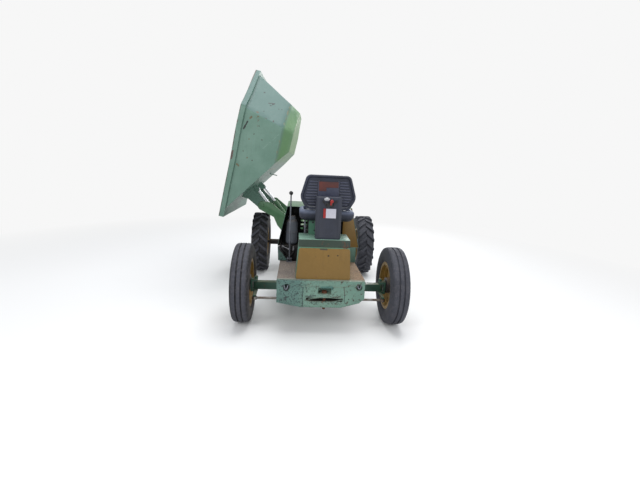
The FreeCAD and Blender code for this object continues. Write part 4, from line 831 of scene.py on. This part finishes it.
RIM_SEAT, RIM_FLANGE = 0.2048, 0.2268
RIB_EDGES = (0.0150, 0.0285)


def ribbed_tyre(bm):
    radius = 0.3672
    bead = [(RIM_SEAT, 0.0612), (RIM_FLANGE, 0.0612), (RIM_FLANGE, 0.0702)]
    wall = smooth_line([(RIM_FLANGE, 0.0702), (0.236, 0.0800), (0.285, 0.0868), (0.335, 0.0790), (0.351, 0.0730)])
    steps = [(0.3520, 0.0712), (0.3555, 0.0705), (0.3560, 0.0690), (0.3590, 0.0668)]
    floor = radius - 0.0105
    inner, outer = RIB_EDGES
    tread = [(0.3640, 0.0560), (radius - 0.0010, 0.0400), (radius, outer + 0.0015), (radius - 0.0012, outer),
             (floor, outer - 0.0022), (floor, inner + 0.0022), (radius - 0.0012, inner), (radius, inner - 0.0015)]
    half = bead + [tuple(point) for point in wall[1:]] + steps + tread
    turned(bm, closed(mirrored_profile(half)), 96)


LUGS_IN_A_ROW, LUG_SLANT = 20, math.radians(42)
LUG_TOP, LUG_ROOT, LUG_SHOULDER = 0.3985, 0.338, 0.078


def lug_point(point, hand, turn):
    """Bend a straight bar (across the tyre, along its tread, radius) round the tyre."""
    across, along, radius = point
    height = (radius - LUG_ROOT) / (LUG_TOP - LUG_ROOT)
    along *= 1.28 - 0.3 * height
    if across > LUG_SHOULDER:
        drop = (across - LUG_SHOULDER) / 0.024
        radius -= 0.012 * drop * drop
    angle = turn + (0.052 - across) * math.tan(LUG_SLANT) / 0.385 + along / 0.385
    return Vector((radius * math.cos(angle), -radius * math.sin(angle), across * hand))


def lug_row(bm, hand):
    """One row of lugs: a bar bent round the tyre, and its copies."""
    single = bmesh.new()
    block(single, (-0.002, -0.0165, LUG_ROOT), (0.100, 0.0165, LUG_TOP))
    top = [edge for edge in single.edges if all(vert.co.z > LUG_TOP - 0.001 for vert in edge.verts)]
    bmesh.ops.bevel(single, geom=top, offset=0.003, segments=2, profile=0.5, affect="EDGES", material=-1)
    for step in range(1, 6):
        geometry = single.verts[:] + single.edges[:] + single.faces[:]
        bmesh.ops.bisect_plane(single, geom=geometry, plane_co=(step * 0.0175, 0, 0), plane_no=(1, 0, 0))
    pitch = math.tau / LUGS_IN_A_ROW
    for vert in single.verts:
        vert.co = lug_point(vert.co, hand, pitch * (hand + 1) / 4)
    bmesh.ops.spin(single, geom=single.verts[:] + single.edges[:] + single.faces[:], cent=(0, 0, 0),
                   axis=(0, 0, 1), angle=math.tau - pitch, steps=LUGS_IN_A_ROW - 1, use_duplicate=True)
    mesh = bpy.data.meshes.new("lugs")
    single.to_mesh(mesh)
    single.free()
    bm.from_mesh(mesh)
    bpy.data.meshes.remove(mesh)


def chevron_tyre(bm):
    bead = [(RIM_SEAT, 0.0752), (RIM_FLANGE, 0.0752), (RIM_FLANGE, 0.0842)]
    wall = smooth_line([(RIM_FLANGE, 0.0842), (0.240, 0.1000), (0.300, 0.1090), (0.352, 0.1000), (0.364, 0.0920),
                        (0.374, 0.0500), (0.376, 0.0150)])
    half = bead + [tuple(point) for point in wall[1:]] + [(0.3762, 0.0)]
    turned(bm, closed(mirrored_profile(half)), 96)
    for hand in (-1, 1):
        lug_row(bm, hand)


def wheel_fittings(bm, reach, nut_ring=0.0700):
    """Nuts round the hub on the disc's outer side, and the valve."""
    for index in range(6):
        angle = math.tau * (index + 0.5) / 6
        place = Vector((nut_ring * math.cos(angle), nut_ring * math.sin(angle), 0))
        face = Vector((0, 0, -0.008))
        bar(bm, place + face, place + Vector((0, 0, 0.006)), 0.0125, 6)
        bar(bm, place + face, place + Vector((0, 0, 0.013)), 0.0062, 12)
        bar(bm, place + face, place + Vector((0, 0, -0.0055)), 0.0165, 18)
    bar(bm, (0.150, 0.050, -0.012), (0.153, 0.052, reach), 0.0045, 10)
    bar(bm, (0.153, 0.052, reach - 0.002), (0.154, 0.0525, reach + 0.012), 0.0058, 12)


for name, axle_name, place in WHEELS:
    tyre, rubbers, reach = (ribbed_tyre, "ribbed", 0.035) if axle_name == "rear" else (chevron_tyre, "lugged", 0.045)
    piece(name + "_tread", tyre, rubbers, name + "_wheel", place, [name + "_tyre"], angle=32)
    piece(name + "_fittings", lambda bm: wheel_fittings(bm, reach), "rusty", name + "_wheel", place)


# Seat. Its frame has x from the seat's middle, y forwards and z up from the plinth it stands on.

SEAT_LOW, SEAT_HIGH = in_vehicle("seat_shell")
SEAT_X = (SEAT_LOW.x + SEAT_HIGH.x) / 2
SEAT_BACK = SEAT_LOW.y
SEAT = VEHICLE @ Matrix.Translation((SEAT_X, 0, 0))
BACK_SHEET = 0.030
BACK_OUTLINE = [
    # half width, height
    (0.190, 1.090), (0.250, 1.190), (0.192, 1.390),
]


def seat_outline(bm, inset, y):
    """One face in the seat back's rounded outline, inset from its edge."""
    (foot, low), (widest, bend), (head, high) = BACK_OUTLINE
    right = [(foot - inset, low + inset), (widest - inset, bend), (head - inset, high - inset)]
    verts = [bm.verts.new((x, y, z)) for x, z in [(-x, z) for x, z in reversed(right)] + right]
    bm.faces.new(verts)
    bmesh.ops.bevel(bm, geom=verts, offset=0.034 - inset * 0.5, offset_type="OFFSET", segments=5, profile=0.5,
                    affect="VERTICES", material=-1)
    bm.faces.ensure_lookup_table()
    return bm.faces[-1]


def thickened(bm, face, depth):
    """Extrude a face by depth along y, and point all normals outwards."""
    grown = bmesh.ops.extrude_face_region(bm, geom=[face])
    bmesh.ops.translate(bm, vec=(0, depth, 0), verts=[v for v in grown["geom"] if isinstance(v, bmesh.types.BMVert)])
    bmesh.ops.recalc_face_normals(bm, faces=bm.faces)


def rearmost(bm):
    """The largest face among those furthest back."""
    rear = min(vert.co.y for vert in bm.verts)
    return max((face for face in bm.faces if face.calc_center_median().y < rear + 0.001),
               key=lambda face: face.calc_area())


def back_shell(bm):
    """Moulded back: a folded rim round a recess."""
    seat_outline(bm, 0.0, SEAT_BACK)
    bm.faces.ensure_lookup_table()
    thickened(bm, bm.faces[0], BACK_SHEET)
    bmesh.ops.bevel(bm, geom=list(rearmost(bm).edges), offset=0.007, segments=3, profile=0.5, affect="EDGES",
                    material=-1)
    inner = rearmost(bm)
    for thickness, depth in ((0.011, 0), (0.007, -0.014)):
        bmesh.ops.inset_individual(bm, faces=[inner], thickness=thickness, depth=depth, use_even_offset=True)


PLAIN_FIELD = (-0.088, 0.088)
RIBS = 9


def back_ribs(bm):
    """Ribs left and right of the plain field, on the floor of the recess."""
    floor = SEAT_BACK + 0.017
    low, high = BACK_OUTLINE[0][1] + 0.045, BACK_OUTLINE[2][1] - 0.060
    for index in range(RIBS):
        z = low + (high - low) * index / (RIBS - 1)
        if z < BACK_OUTLINE[1][1]:
            half = 0.150 + (0.205 - 0.150) * (z - BACK_OUTLINE[0][1]) / (BACK_OUTLINE[1][1] - BACK_OUTLINE[0][1])
        else:
            half = 0.205 + (0.156 - 0.205) * (z - BACK_OUTLINE[1][1]) / (BACK_OUTLINE[2][1] - BACK_OUTLINE[1][1])
        for sign in (-1, 1):
            ends = sorted((0.098 * sign, half * sign))
            block(bm, (ends[0], floor - 0.009, z - 0.006), (ends[1], floor + 0.004, z + 0.006), 0.004)
    for x in PLAIN_FIELD:
        block(bm, (x - 0.005, floor - 0.006, 1.150), (x + 0.005, floor + 0.004, high + 0.010), 0.003)
    block(bm, (-0.088, floor - 0.004, 1.205), (0.088, floor + 0.004, 1.320), 0.003)


def seat_back(bm):
    back_shell(bm)
    with_finish(bm, 2, back_ribs)
    with_finish(bm, 1, block, (-0.086, SEAT_BACK + 0.0100, 1.282), (0.086, SEAT_BACK + 0.0140, 1.332), 0.001, 1)
    with_finish(bm, 1, block, (-0.086, SEAT_BACK + 0.0102, 1.250), (-0.020, SEAT_BACK + 0.0138, 1.286), 0.001, 1)
    block(bm, (-0.088, SEAT_BACK + 0.004, 0.986), (0.088, SEAT_BACK + BACK_SHEET, 1.125), 0.010)


def seat_pan(bm):
    """Pan with its rolled sides."""
    half, front = (SEAT_HIGH.x - SEAT_LOW.x) / 2, SEAT_HIGH.y
    low = SEAT_LOW.z
    block(bm, (-half, SEAT_BACK, low), (half, front, low + 0.100))
    upright = [edge for edge in bm.edges if abs(edge.verts[0].co.z - edge.verts[1].co.z) > 0.05]
    bmesh.ops.bevel(bm, geom=upright, offset=0.080, segments=8, profile=0.5, affect="EDGES", material=-1)
    for level, offset in ((low, 0.054), (low + 0.100, 0.034)):
        around = [edge for edge in bm.edges if all(abs(vert.co.z - level) < 0.001 for vert in edge.verts)]
        bmesh.ops.bevel(bm, geom=around, offset=offset, segments=6, profile=0.5, affect="EDGES", material=-1)
    top = max(bm.faces, key=lambda face: face.calc_center_median().z)
    bmesh.ops.inset_individual(bm, faces=[top], thickness=0.004, depth=0.0, use_even_offset=True)
    bmesh.ops.inset_individual(bm, faces=[top], thickness=0.004, depth=-0.060, use_even_offset=True)


def seat_shell(bm):
    seat_pan(bm)
    pan = bpy.data.meshes.new("pan")
    other = bmesh.new()
    seat_back(other)
    other.to_mesh(pan)
    other.free()
    bm.from_mesh(pan)
    bpy.data.meshes.remove(pan)


# Suspension cover behind the seat, with its weight knob, handle and blank label.

COLUMN_LOW, COLUMN_HIGH = in_vehicle("seat_column")
COVER_TOP, COVER_FOOT = COLUMN_HIGH.z, COLUMN_LOW.z
COVER_REAR, COVER_DEPTH, COVER_HALF = COLUMN_LOW.y, 0.100, 0.110
HANDLE_Z = COVER_TOP - 0.016
DIAL_Z, RECESS_Z, LABEL_TOP = HANDLE_Z - 0.018, COVER_TOP - 0.030, COVER_TOP - 0.096


def cover(bm):
    block(bm, (-COVER_HALF, COVER_REAR, COVER_FOOT), (COVER_HALF, COVER_REAR + COVER_DEPTH, COVER_TOP))
    rear = [edge for edge in bm.edges if abs(edge.verts[0].co.z - edge.verts[1].co.z) > 0.1
            and edge.verts[0].co.y < COVER_REAR + 0.001]
    bmesh.ops.bevel(bm, geom=rear, offset=0.024, segments=3, profile=0.5, affect="EDGES", material=-1)
    around = [edge for edge in bm.edges if all(vert.co.z > COVER_TOP - 0.001 for vert in edge.verts)]
    bmesh.ops.bevel(bm, geom=around, offset=0.008, segments=2, profile=0.5, affect="EDGES", material=-1)
    face = max((item for item in bm.faces if item.calc_center_median().y < COVER_REAR + 0.001),
               key=lambda item: item.calc_area())
    bmesh.ops.inset_individual(bm, faces=[face], thickness=0.010, depth=0.0, use_even_offset=True)
    bmesh.ops.inset_individual(bm, faces=[face], thickness=0.004, depth=-0.003, use_even_offset=True)
    for low, high in ((COVER_FOOT + 0.004, COVER_FOOT + 0.020),):
        block(bm, (-COVER_HALF + 0.006, COVER_REAR - 0.001, low), (COVER_HALF - 0.006, COVER_REAR + 0.020, high), 0.003)


def cover_handle(bm):
    """Bright oval handle in the recess at the top of the cover."""
    turned(bm, [(0.0001, -0.006), (0.010, -0.006), (0.014, -0.002), (0.014, 0.002), (0.010, 0.006), (0.0001, 0.006)],
           20, Matrix.Translation((-0.022, COVER_REAR - 0.002, HANDLE_Z)) @ Matrix.Rotation(math.pi / 2, 4, "X")
           @ Matrix.Diagonal((1.7, 1, 1, 1)))


def cover_dial(bm):
    place = Matrix.Translation((0.020, COVER_REAR, DIAL_Z)) @ Matrix.Rotation(math.pi / 2, 4, "X")
    turned(bm, [(0.0001, 0.016), (0.010, 0.016), (0.014, 0.012), (0.015, 0.0), (0.015, -0.006), (0.0001, -0.006)], 18,
           place)
    block(bm, (0.006, COVER_REAR - 0.014, DIAL_Z - 0.032), (0.020, COVER_REAR, DIAL_Z), 0.004)


def cover_recess_shade(bm):
    """Arrow-shaped recess under the dial and the two screw holes beside it, as black shapes on the cover's face:
    painted shade.
    """
    z = RECESS_Z - 0.008
    for x in (-0.050, 0.056):
        bar(bm, (x, COVER_REAR - 0.0012, z), (x, COVER_REAR + 0.006, z), 0.0085, 18)
    for side in (-1, 1):
        bar(bm, (side * 0.046 + 0.003, COVER_REAR - 0.0010, z - 0.006), (side * 0.026 + 0.003, COVER_REAR - 0.0010, z - 0.042),
            0.0035, 10)
    block(bm, (-0.026, COVER_REAR - 0.0012, z - 0.046), (0.032, COVER_REAR + 0.004, z - 0.006), 0.006)


def cover_label(bm):
    high, low = LABEL_TOP, LABEL_TOP - 0.080
    with_finish(bm, 0, block, (-0.026, COVER_REAR - 0.0020, low), (0.060, COVER_REAR + 0.001, high), 0.0005, 1)
    with_finish(bm, 1, block, (-0.048, COVER_REAR - 0.0018, low), (-0.027, COVER_REAR + 0.001, high), 0.0005, 1)


# Cushions: each starts smaller than its place and swells like stuffed vinyl, held where it rests.

SWELLING_FRAMES = 20
VOXEL = 0.006


def swollen(name, build, rests, cap):
    """Mesh of a stuffed form. Points for which rests(point) is true stay put, others move by cap at most."""
    bm = bmesh.new()
    build(bm)
    mesh = bpy.data.meshes.new(name + "_start")
    bm.to_mesh(mesh)
    bm.free()
    form = bpy.data.objects.new(name + "_form", mesh)
    scene = bpy.context.scene
    scene.collection.objects.link(form)
    remesh = form.modifiers.new("Remesh", "REMESH")
    remesh.mode = "VOXEL"
    remesh.voxel_size = VOXEL
    even = bpy.data.meshes.new_from_object(form.evaluated_get(bpy.context.evaluated_depsgraph_get()))
    form.modifiers.remove(remesh)
    form.data = even
    start = [vert.co.copy() for vert in even.vertices]
    held = form.vertex_groups.new(name="held")
    held.add([index for index, place in enumerate(start) if rests(place)], 1.0, "REPLACE")
    cloth = form.modifiers.new("Cloth", "CLOTH")
    cloth.settings.quality = 6
    cloth.settings.vertex_group_mass = "held"
    cloth.settings.use_pressure = True
    cloth.settings.uniform_pressure_force = 4
    cloth.settings.effector_weights.gravity = 0
    for number in range(1, SWELLING_FRAMES + 1):
        scene.frame_set(number)
    moved = bpy.data.meshes.new_from_object(form.evaluated_get(bpy.context.evaluated_depsgraph_get()))
    for vert, place in zip(moved.vertices, start):
        shift = vert.co - place
        if shift.length > cap:
            vert.co = place + shift * (cap / shift.length)
    form.modifiers.clear()
    form.data = moved
    smooth = form.modifiers.new("Subdivision", "SUBSURF")
    smooth.levels = 1
    result = bpy.data.meshes.new_from_object(form.evaluated_get(bpy.context.evaluated_depsgraph_get()))
    bpy.data.objects.remove(form)
    scene.frame_set(1)
    return result


def with_channels(bm, mesh, distance, depth, width):
    """Add a swollen mesh with sewn channels pressed in where distance(point) is near zero."""
    bm.from_mesh(mesh)
    bpy.data.meshes.remove(mesh)
    bmesh.ops.recalc_face_normals(bm, faces=bm.faces)
    bm.normal_update()
    shifts = [(vert, vert.normal * depth * math.exp(-(distance(vert.co) / width) ** 2)) for vert in bm.verts]
    for vert, shift in shifts:
        vert.co -= shift


CUSHION_LOW, CUSHION_HIGH = in_vehicle("seat_cushion")
PAD_LOW, PAD_HIGH = in_vehicle("back_cushion")
CUSHION_HALF = (CUSHION_HIGH.x - CUSHION_LOW.x) / 2
PAD_CHANNELS = (-0.095, 0.095)


def cushion_start(bm):
    block(bm, (-CUSHION_HALF + 0.014, CUSHION_LOW.y + 0.014, CUSHION_LOW.z + 0.001),
          (CUSHION_HALF - 0.014, CUSHION_HIGH.y - 0.016, CUSHION_HIGH.z - 0.020), 0.022, 3)


def seat_cushion(bm):
    mesh = swollen("seat_cushion", cushion_start, lambda place: place.z < CUSHION_LOW.z + 0.012, 0.024)
    with_channels(bm, mesh, lambda place: min(abs(place.x - x) for x in PAD_CHANNELS) if place.z > CUSHION_LOW.z + 0.03
                  else 1.0, 0.007, 0.007)


def back_pad_start(bm):
    seat_outline(bm, 0.034, PAD_LOW.y + 0.001)
    bm.faces.ensure_lookup_table()
    thickened(bm, bm.faces[0], 0.030)
    front = [edge for edge in bm.edges if all(vert.co.y > PAD_LOW.y + 0.025 for vert in edge.verts)]
    bmesh.ops.bevel(bm, geom=front, offset=0.012, segments=2, profile=0.5, affect="EDGES", material=-1)


def back_pad(bm):
    mesh = swollen("back_pad", back_pad_start, lambda place: place.y < PAD_LOW.y + 0.008, 0.022)
    with_channels(bm, mesh, lambda place: min(abs(place.x - x) for x in PAD_CHANNELS) if place.y > PAD_LOW.y + 0.014
                  else 1.0, 0.007, 0.007)


piece("seat_cushion_pad", seat_cushion, "vinyl", place=SEAT, stands_for=["seat_cushion"], angle=70)
piece("back_cushion_pad", back_pad, "vinyl", place=SEAT, stands_for=["back_cushion"], angle=70)
piece("seat_moulding", seat_shell, ("plastic", "stain", "rib"), place=SEAT, stands_for=["seat_shell"], angle=40)
piece("suspension_cover", cover, "cover", place=SEAT, stands_for=["seat_column"], angle=40)
piece("suspension_handle", cover_handle, "silver", place=SEAT)
piece("suspension_dial", cover_dial, "red", place=SEAT)
piece("suspension_recess_shade", cover_recess_shade, "knob", place=SEAT)
piece("blank_label", cover_label, ("label", "red"), place=SEAT)


# Small pieces on the machine, in the vehicle frame.

BEAM_REAR = in_vehicle("rear_beam")[0].y
WELDS = [
    [(-0.250, 0.466), (-0.207, 0.435), (-0.142, 0.442), (-0.090, 0.444), (-0.039, 0.449)],
    [(0.102, 0.440), (0.150, 0.438), (0.197, 0.440), (0.253, 0.451), (0.319, 0.460)],
    [(-0.139, 0.316), (-0.060, 0.337), (0.032, 0.343), (0.120, 0.341), (0.204, 0.331)],
    [(-0.139, 0.312), (-0.050, 0.300), (0.030, 0.296), (0.120, 0.304), (0.204, 0.327)],
]
HOOK_PLACES = [(-0.303, 0.430), (0.334, 0.446)]
HOOK = [(-0.015, 0.008, 0.018), (-0.013, -0.006, -0.002), (-0.004, -0.010, -0.016), (0.009, -0.009, -0.010),
        (0.015, 0.004, 0.014)]


def beam_welds(bm):
    for line in WELDS:
        pipe(bm, [(x, BEAM_REAR + 0.001, z) for x, z in line], 0.0042)


def beam_hooks(bm):
    """Bent rods in the beam's two holes."""
    for x, z in HOOK_PLACES:
        pipe(bm, [(x + across, BEAM_REAR + along, z + up) for across, along, up in HOOK], 0.0048)


piece("beam_welds", beam_welds, "beam", angle=60)
piece("beam_hooks", beam_hooks, "lever", angle=60)

PLATE_LOW, PLATE_HIGH = in_vehicle("seat_box_panel")
PLATE_CORNERS = [(-0.223, 0.502), (0.252, 0.502), (0.236, 0.776), (-0.200, 0.776)]


def yellow_plate(bm):
    """Plate with rounded corners, wider at its foot."""
    verts = [bm.verts.new((x, PLATE_LOW.y, z)) for x, z in PLATE_CORNERS]
    bm.faces.new(verts)
    bmesh.ops.bevel(bm, geom=verts, offset=0.016, offset_type="OFFSET", segments=4, profile=0.5, affect="VERTICES",
                    material=-1)
    bm.faces.ensure_lookup_table()
    thickened(bm, bm.faces[0], PLATE_HIGH.y - PLATE_LOW.y)
    bmesh.ops.bevel(bm, geom=list(rearmost(bm).edges), offset=0.002, segments=2, profile=0.5, affect="EDGES", material=-1)


piece("yellow_plate", yellow_plate, "yellow", stands_for=["seat_box_panel"])

CLEANER_LOW, CLEANER_HIGH = in_vehicle("air_cleaner")
CLEANER_RADIUS = (CLEANER_HIGH.x - CLEANER_LOW.x) / 2
CLEANER_SECTION = [
    # share of the radius, share of the height
    (0.002, 0.000), (0.55, 0.000), (0.62, 0.012), (0.80, 0.040), (0.95, 0.080), (0.965, 0.120), (0.965, 0.415),
    (1.000, 0.420), (1.000, 0.455), (0.965, 0.460), (0.965, 0.720), (0.940, 0.770), (0.860, 0.820), (0.700, 0.852),
    (0.640, 0.862), (0.640, 0.872), (0.600, 0.878), (0.600, 0.962), (0.575, 0.985), (0.500, 1.000), (0.002, 1.000),
]


def air_cleaner(bm):
    """Canister with a clamp band, rounded shoulders and a cap."""
    height = CLEANER_HIGH.z - CLEANER_LOW.z
    centre = (CLEANER_LOW + CLEANER_HIGH) / 2
    turned(bm, [(radius * CLEANER_RADIUS, share * height) for radius, share in CLEANER_SECTION], 40,
           Matrix.Translation((centre.x, centre.y, CLEANER_LOW.z)))


piece("air_cleaner_form", air_cleaner, "canister", stands_for=["air_cleaner"], angle=40)

BAY_REAR = in_vehicle("engine_bay_base")[0].y
BAY_HOSES = [
    # radius, places across, along and up
    (0.011, [(-0.400, 0.020, 0.640), (-0.396, -0.014, 0.632), (-0.366, -0.018, 0.600), (-0.338, -0.014, 0.566),
             (-0.330, 0.020, 0.556)]),
    (0.010, [(-0.372, 0.020, 0.655), (-0.370, -0.012, 0.650), (-0.352, -0.020, 0.612), (-0.300, -0.016, 0.570),
             (-0.262, -0.010, 0.556), (-0.255, 0.020, 0.552)]),
    (0.013, [(-0.292, 0.092, 0.662), (-0.292, 0.080, 0.640), (-0.294, 0.050, 0.615), (-0.296, 0.020, 0.600)]),
    (0.008, [(-0.240, 0.020, 0.640), (-0.242, -0.012, 0.632), (-0.250, -0.016, 0.600), (-0.290, -0.012, 0.540),
             (-0.296, 0.020, 0.530)]),
]


def bay_hoses(bm):
    for radius, places in BAY_HOSES:
        pipe(bm, [(x, BAY_REAR + y, z) for x, y, z in places], radius)


def bay_fittings(bm):
    """Bright pipe, screw and thin link on the bay's rear plate."""
    bar(bm, (-0.254, BAY_REAR - 0.010, 0.655), (-0.252, BAY_REAR - 0.010, 0.592), 0.0065, 14)
    for z in (0.645, 0.602):
        bar(bm, (-0.253, BAY_REAR - 0.012, z), (-0.253, BAY_REAR + 0.006, z), 0.0045, 10)
    bar(bm, (-0.361, BAY_REAR - 0.012, 0.652), (-0.361, BAY_REAR + 0.004, 0.652), 0.0085, 6)
    bar(bm, (-0.361, BAY_REAR - 0.008, 0.652), (-0.303, BAY_REAR - 0.006, 0.625), 0.0030, 10)
    bar(bm, (-0.303, BAY_REAR - 0.010, 0.625), (-0.303, BAY_REAR + 0.004, 0.625), 0.0060, 6)


CORNER_PLATE = [(-0.412, 0.648), (-0.404, 0.503), (-0.312, 0.503)]


def corner_plate(bm):
    """Worn three-cornered plate low on the left of the bay's rear."""
    bm.faces.new([bm.verts.new((x, BAY_REAR - 0.003, z)) for x, z in CORNER_PLATE])
    bm.faces.ensure_lookup_table()
    thickened(bm, bm.faces[0], 0.004)


# Painted shade: black discs for two holes in the seat stand.
def stand_hole_shades(bm):
    for x, z in ((-0.081, 0.962), (-0.065, 0.888)):
        bar(bm, (x, -0.0412, z), (x, -0.036, z), 0.0085, 16)


piece("stand_hole_shades", stand_hole_shades, "knob")
piece("bay_corner_plate", corner_plate, "beam")
piece("bay_hoses", bay_hoses, "knob", angle=60)
piece("bay_fittings", bay_fittings, "silver")
piece("seat_tie_bar", lambda bm: bar(bm, (-0.149, 0.008, 0.848), (-0.153, 0.008, 0.992), 0.0060, 14), "lever")


# Floor, light and camera.


BACKDROP = 0.93


def seen_directly(f):
    """1 for camera, glossy and transmission rays, 0 for the light that surfaces throw on each other."""
    ways = f.add("ShaderNodeLightPath")
    seen = f.math("MAXIMUM", ways.outputs["Is Camera Ray"], ways.outputs["Is Glossy Ray"])
    return f.math("MAXIMUM", seen, ways.outputs["Is Transmission Ray"])


def stage():
    """Pale floor that turns into the backdrop's own colour away from the machine."""
    plain = Finish("pale_floor")
    f = plain
    seen = seen_directly(f)
    f.finish(f.mix(seen, (0.45, 0.45, 0.45), (0.86, 0.86, 0.86)), 0.9)
    reach = f.add("ShaderNodeVectorMath", operation="LENGTH")
    f.feed(reach.inputs[0], f.place)
    glow = f.add("ShaderNodeEmission")
    glow.inputs["Color"].default_value = (BACKDROP, BACKDROP, BACKDROP, 1)
    blend = f.add("ShaderNodeMixShader")
    f.feed(blend.inputs[0], f.math("MULTIPLY", seen, f.band(reach.outputs["Value"], 2.2, 6.0)))
    f.feed(blend.inputs[1], f.shader.outputs["BSDF"])
    f.feed(blend.inputs[2], glow.outputs["Emission"])
    f.feed(f.tree.nodes["Material Output"].inputs["Surface"], blend.outputs["Shader"])
    bm = bmesh.new()
    bmesh.ops.create_grid(bm, x_segments=2, y_segments=2, size=40)
    mesh = bpy.data.meshes.new("floor")
    bm.to_mesh(mesh)
    bm.free()
    mesh.materials.append(plain.material)
    floor = bpy.data.objects.new("floor", mesh)
    bpy.context.scene.collection.objects.link(floor)
    world = bpy.data.worlds.new("studio")
    bpy.context.scene.world = world
    world.use_nodes = True
    nodes, links = world.node_tree.nodes, world.node_tree.links
    light = nodes["Background"]
    light.inputs["Color"].default_value = (0.93, 0.96, 1.0, 1)
    light.inputs["Strength"].default_value = 0.62
    backdrop = nodes.new("ShaderNodeBackground")
    backdrop.inputs["Color"].default_value = (BACKDROP, BACKDROP, BACKDROP, 1)
    ways = nodes.new("ShaderNodeLightPath")
    blend = nodes.new("ShaderNodeMixShader")
    links.new(ways.outputs["Is Camera Ray"], blend.inputs["Fac"])
    links.new(light.outputs["Background"], blend.inputs[1])
    links.new(backdrop.outputs["Background"], blend.inputs[2])
    links.new(blend.outputs["Shader"], nodes["World Output"].inputs["Surface"])


LAMPS = [
    # name, place, point lit, size, power
    ("sky", (0.2, 0.8, 6.5), (0.0, 0.9, 0.5), 5.0, 230),
    ("key", (-3.6, -4.4, 3.6), (-0.2, 0.6, 0.9), 2.2, 110),
    ("fill", (3.8, -3.6, 2.4), (0.0, 0.2, 0.8), 3.0, 70),
    ("back", (2.5, 6.0, 3.5), (-0.2, 1.2, 1.0), 3.0, 120),
]


def lamps():
    for name, place, target, size, power in LAMPS:
        data = bpy.data.lights.new(name, "AREA")
        data.shape = "DISK"
        data.size = size
        data.energy = power
        lamp = bpy.data.objects.new(name, data)
        bpy.context.scene.collection.objects.link(lamp)
        place, target = VEHICLE @ Vector(place), VEHICLE @ Vector(target)
        lamp.location = place
        lamp.rotation_euler = (target - place).to_track_quat("-Z", "Y").to_euler()


CAMERA_PLACE = (-0.235, -3.218, 1.471)
CAMERA_TURN, CAMERA_DIP, CAMERA_ROLL = (math.radians(angle) for angle in (4.049, 11.888, 2.609))
FOCAL_PIXELS, PICTURE_WIDTH, SENSOR_WIDTH = 355.0, 640, 36.0


def camera():
    """Where the photograph was taken, from the outlines of the four tyres."""
    data = bpy.data.cameras.new("camera")
    data.sensor_width = SENSOR_WIDTH
    data.lens = FOCAL_PIXELS * SENSOR_WIDTH / PICTURE_WIDTH
    eye = bpy.data.objects.new("camera", data)
    bpy.context.scene.collection.objects.link(eye)
    turn = Matrix.Rotation(-CAMERA_TURN, 4, "Z") @ Matrix.Rotation(math.pi / 2 - CAMERA_DIP, 4, "X")
    eye.matrix_world = VEHICLE @ Matrix.Translation(CAMERA_PLACE) @ turn @ Matrix.Rotation(CAMERA_ROLL, 4, "Z")
    bpy.context.scene.camera = eye


stage()
lamps()
camera()
bpy.context.scene.view_settings.view_transform = "Standard"
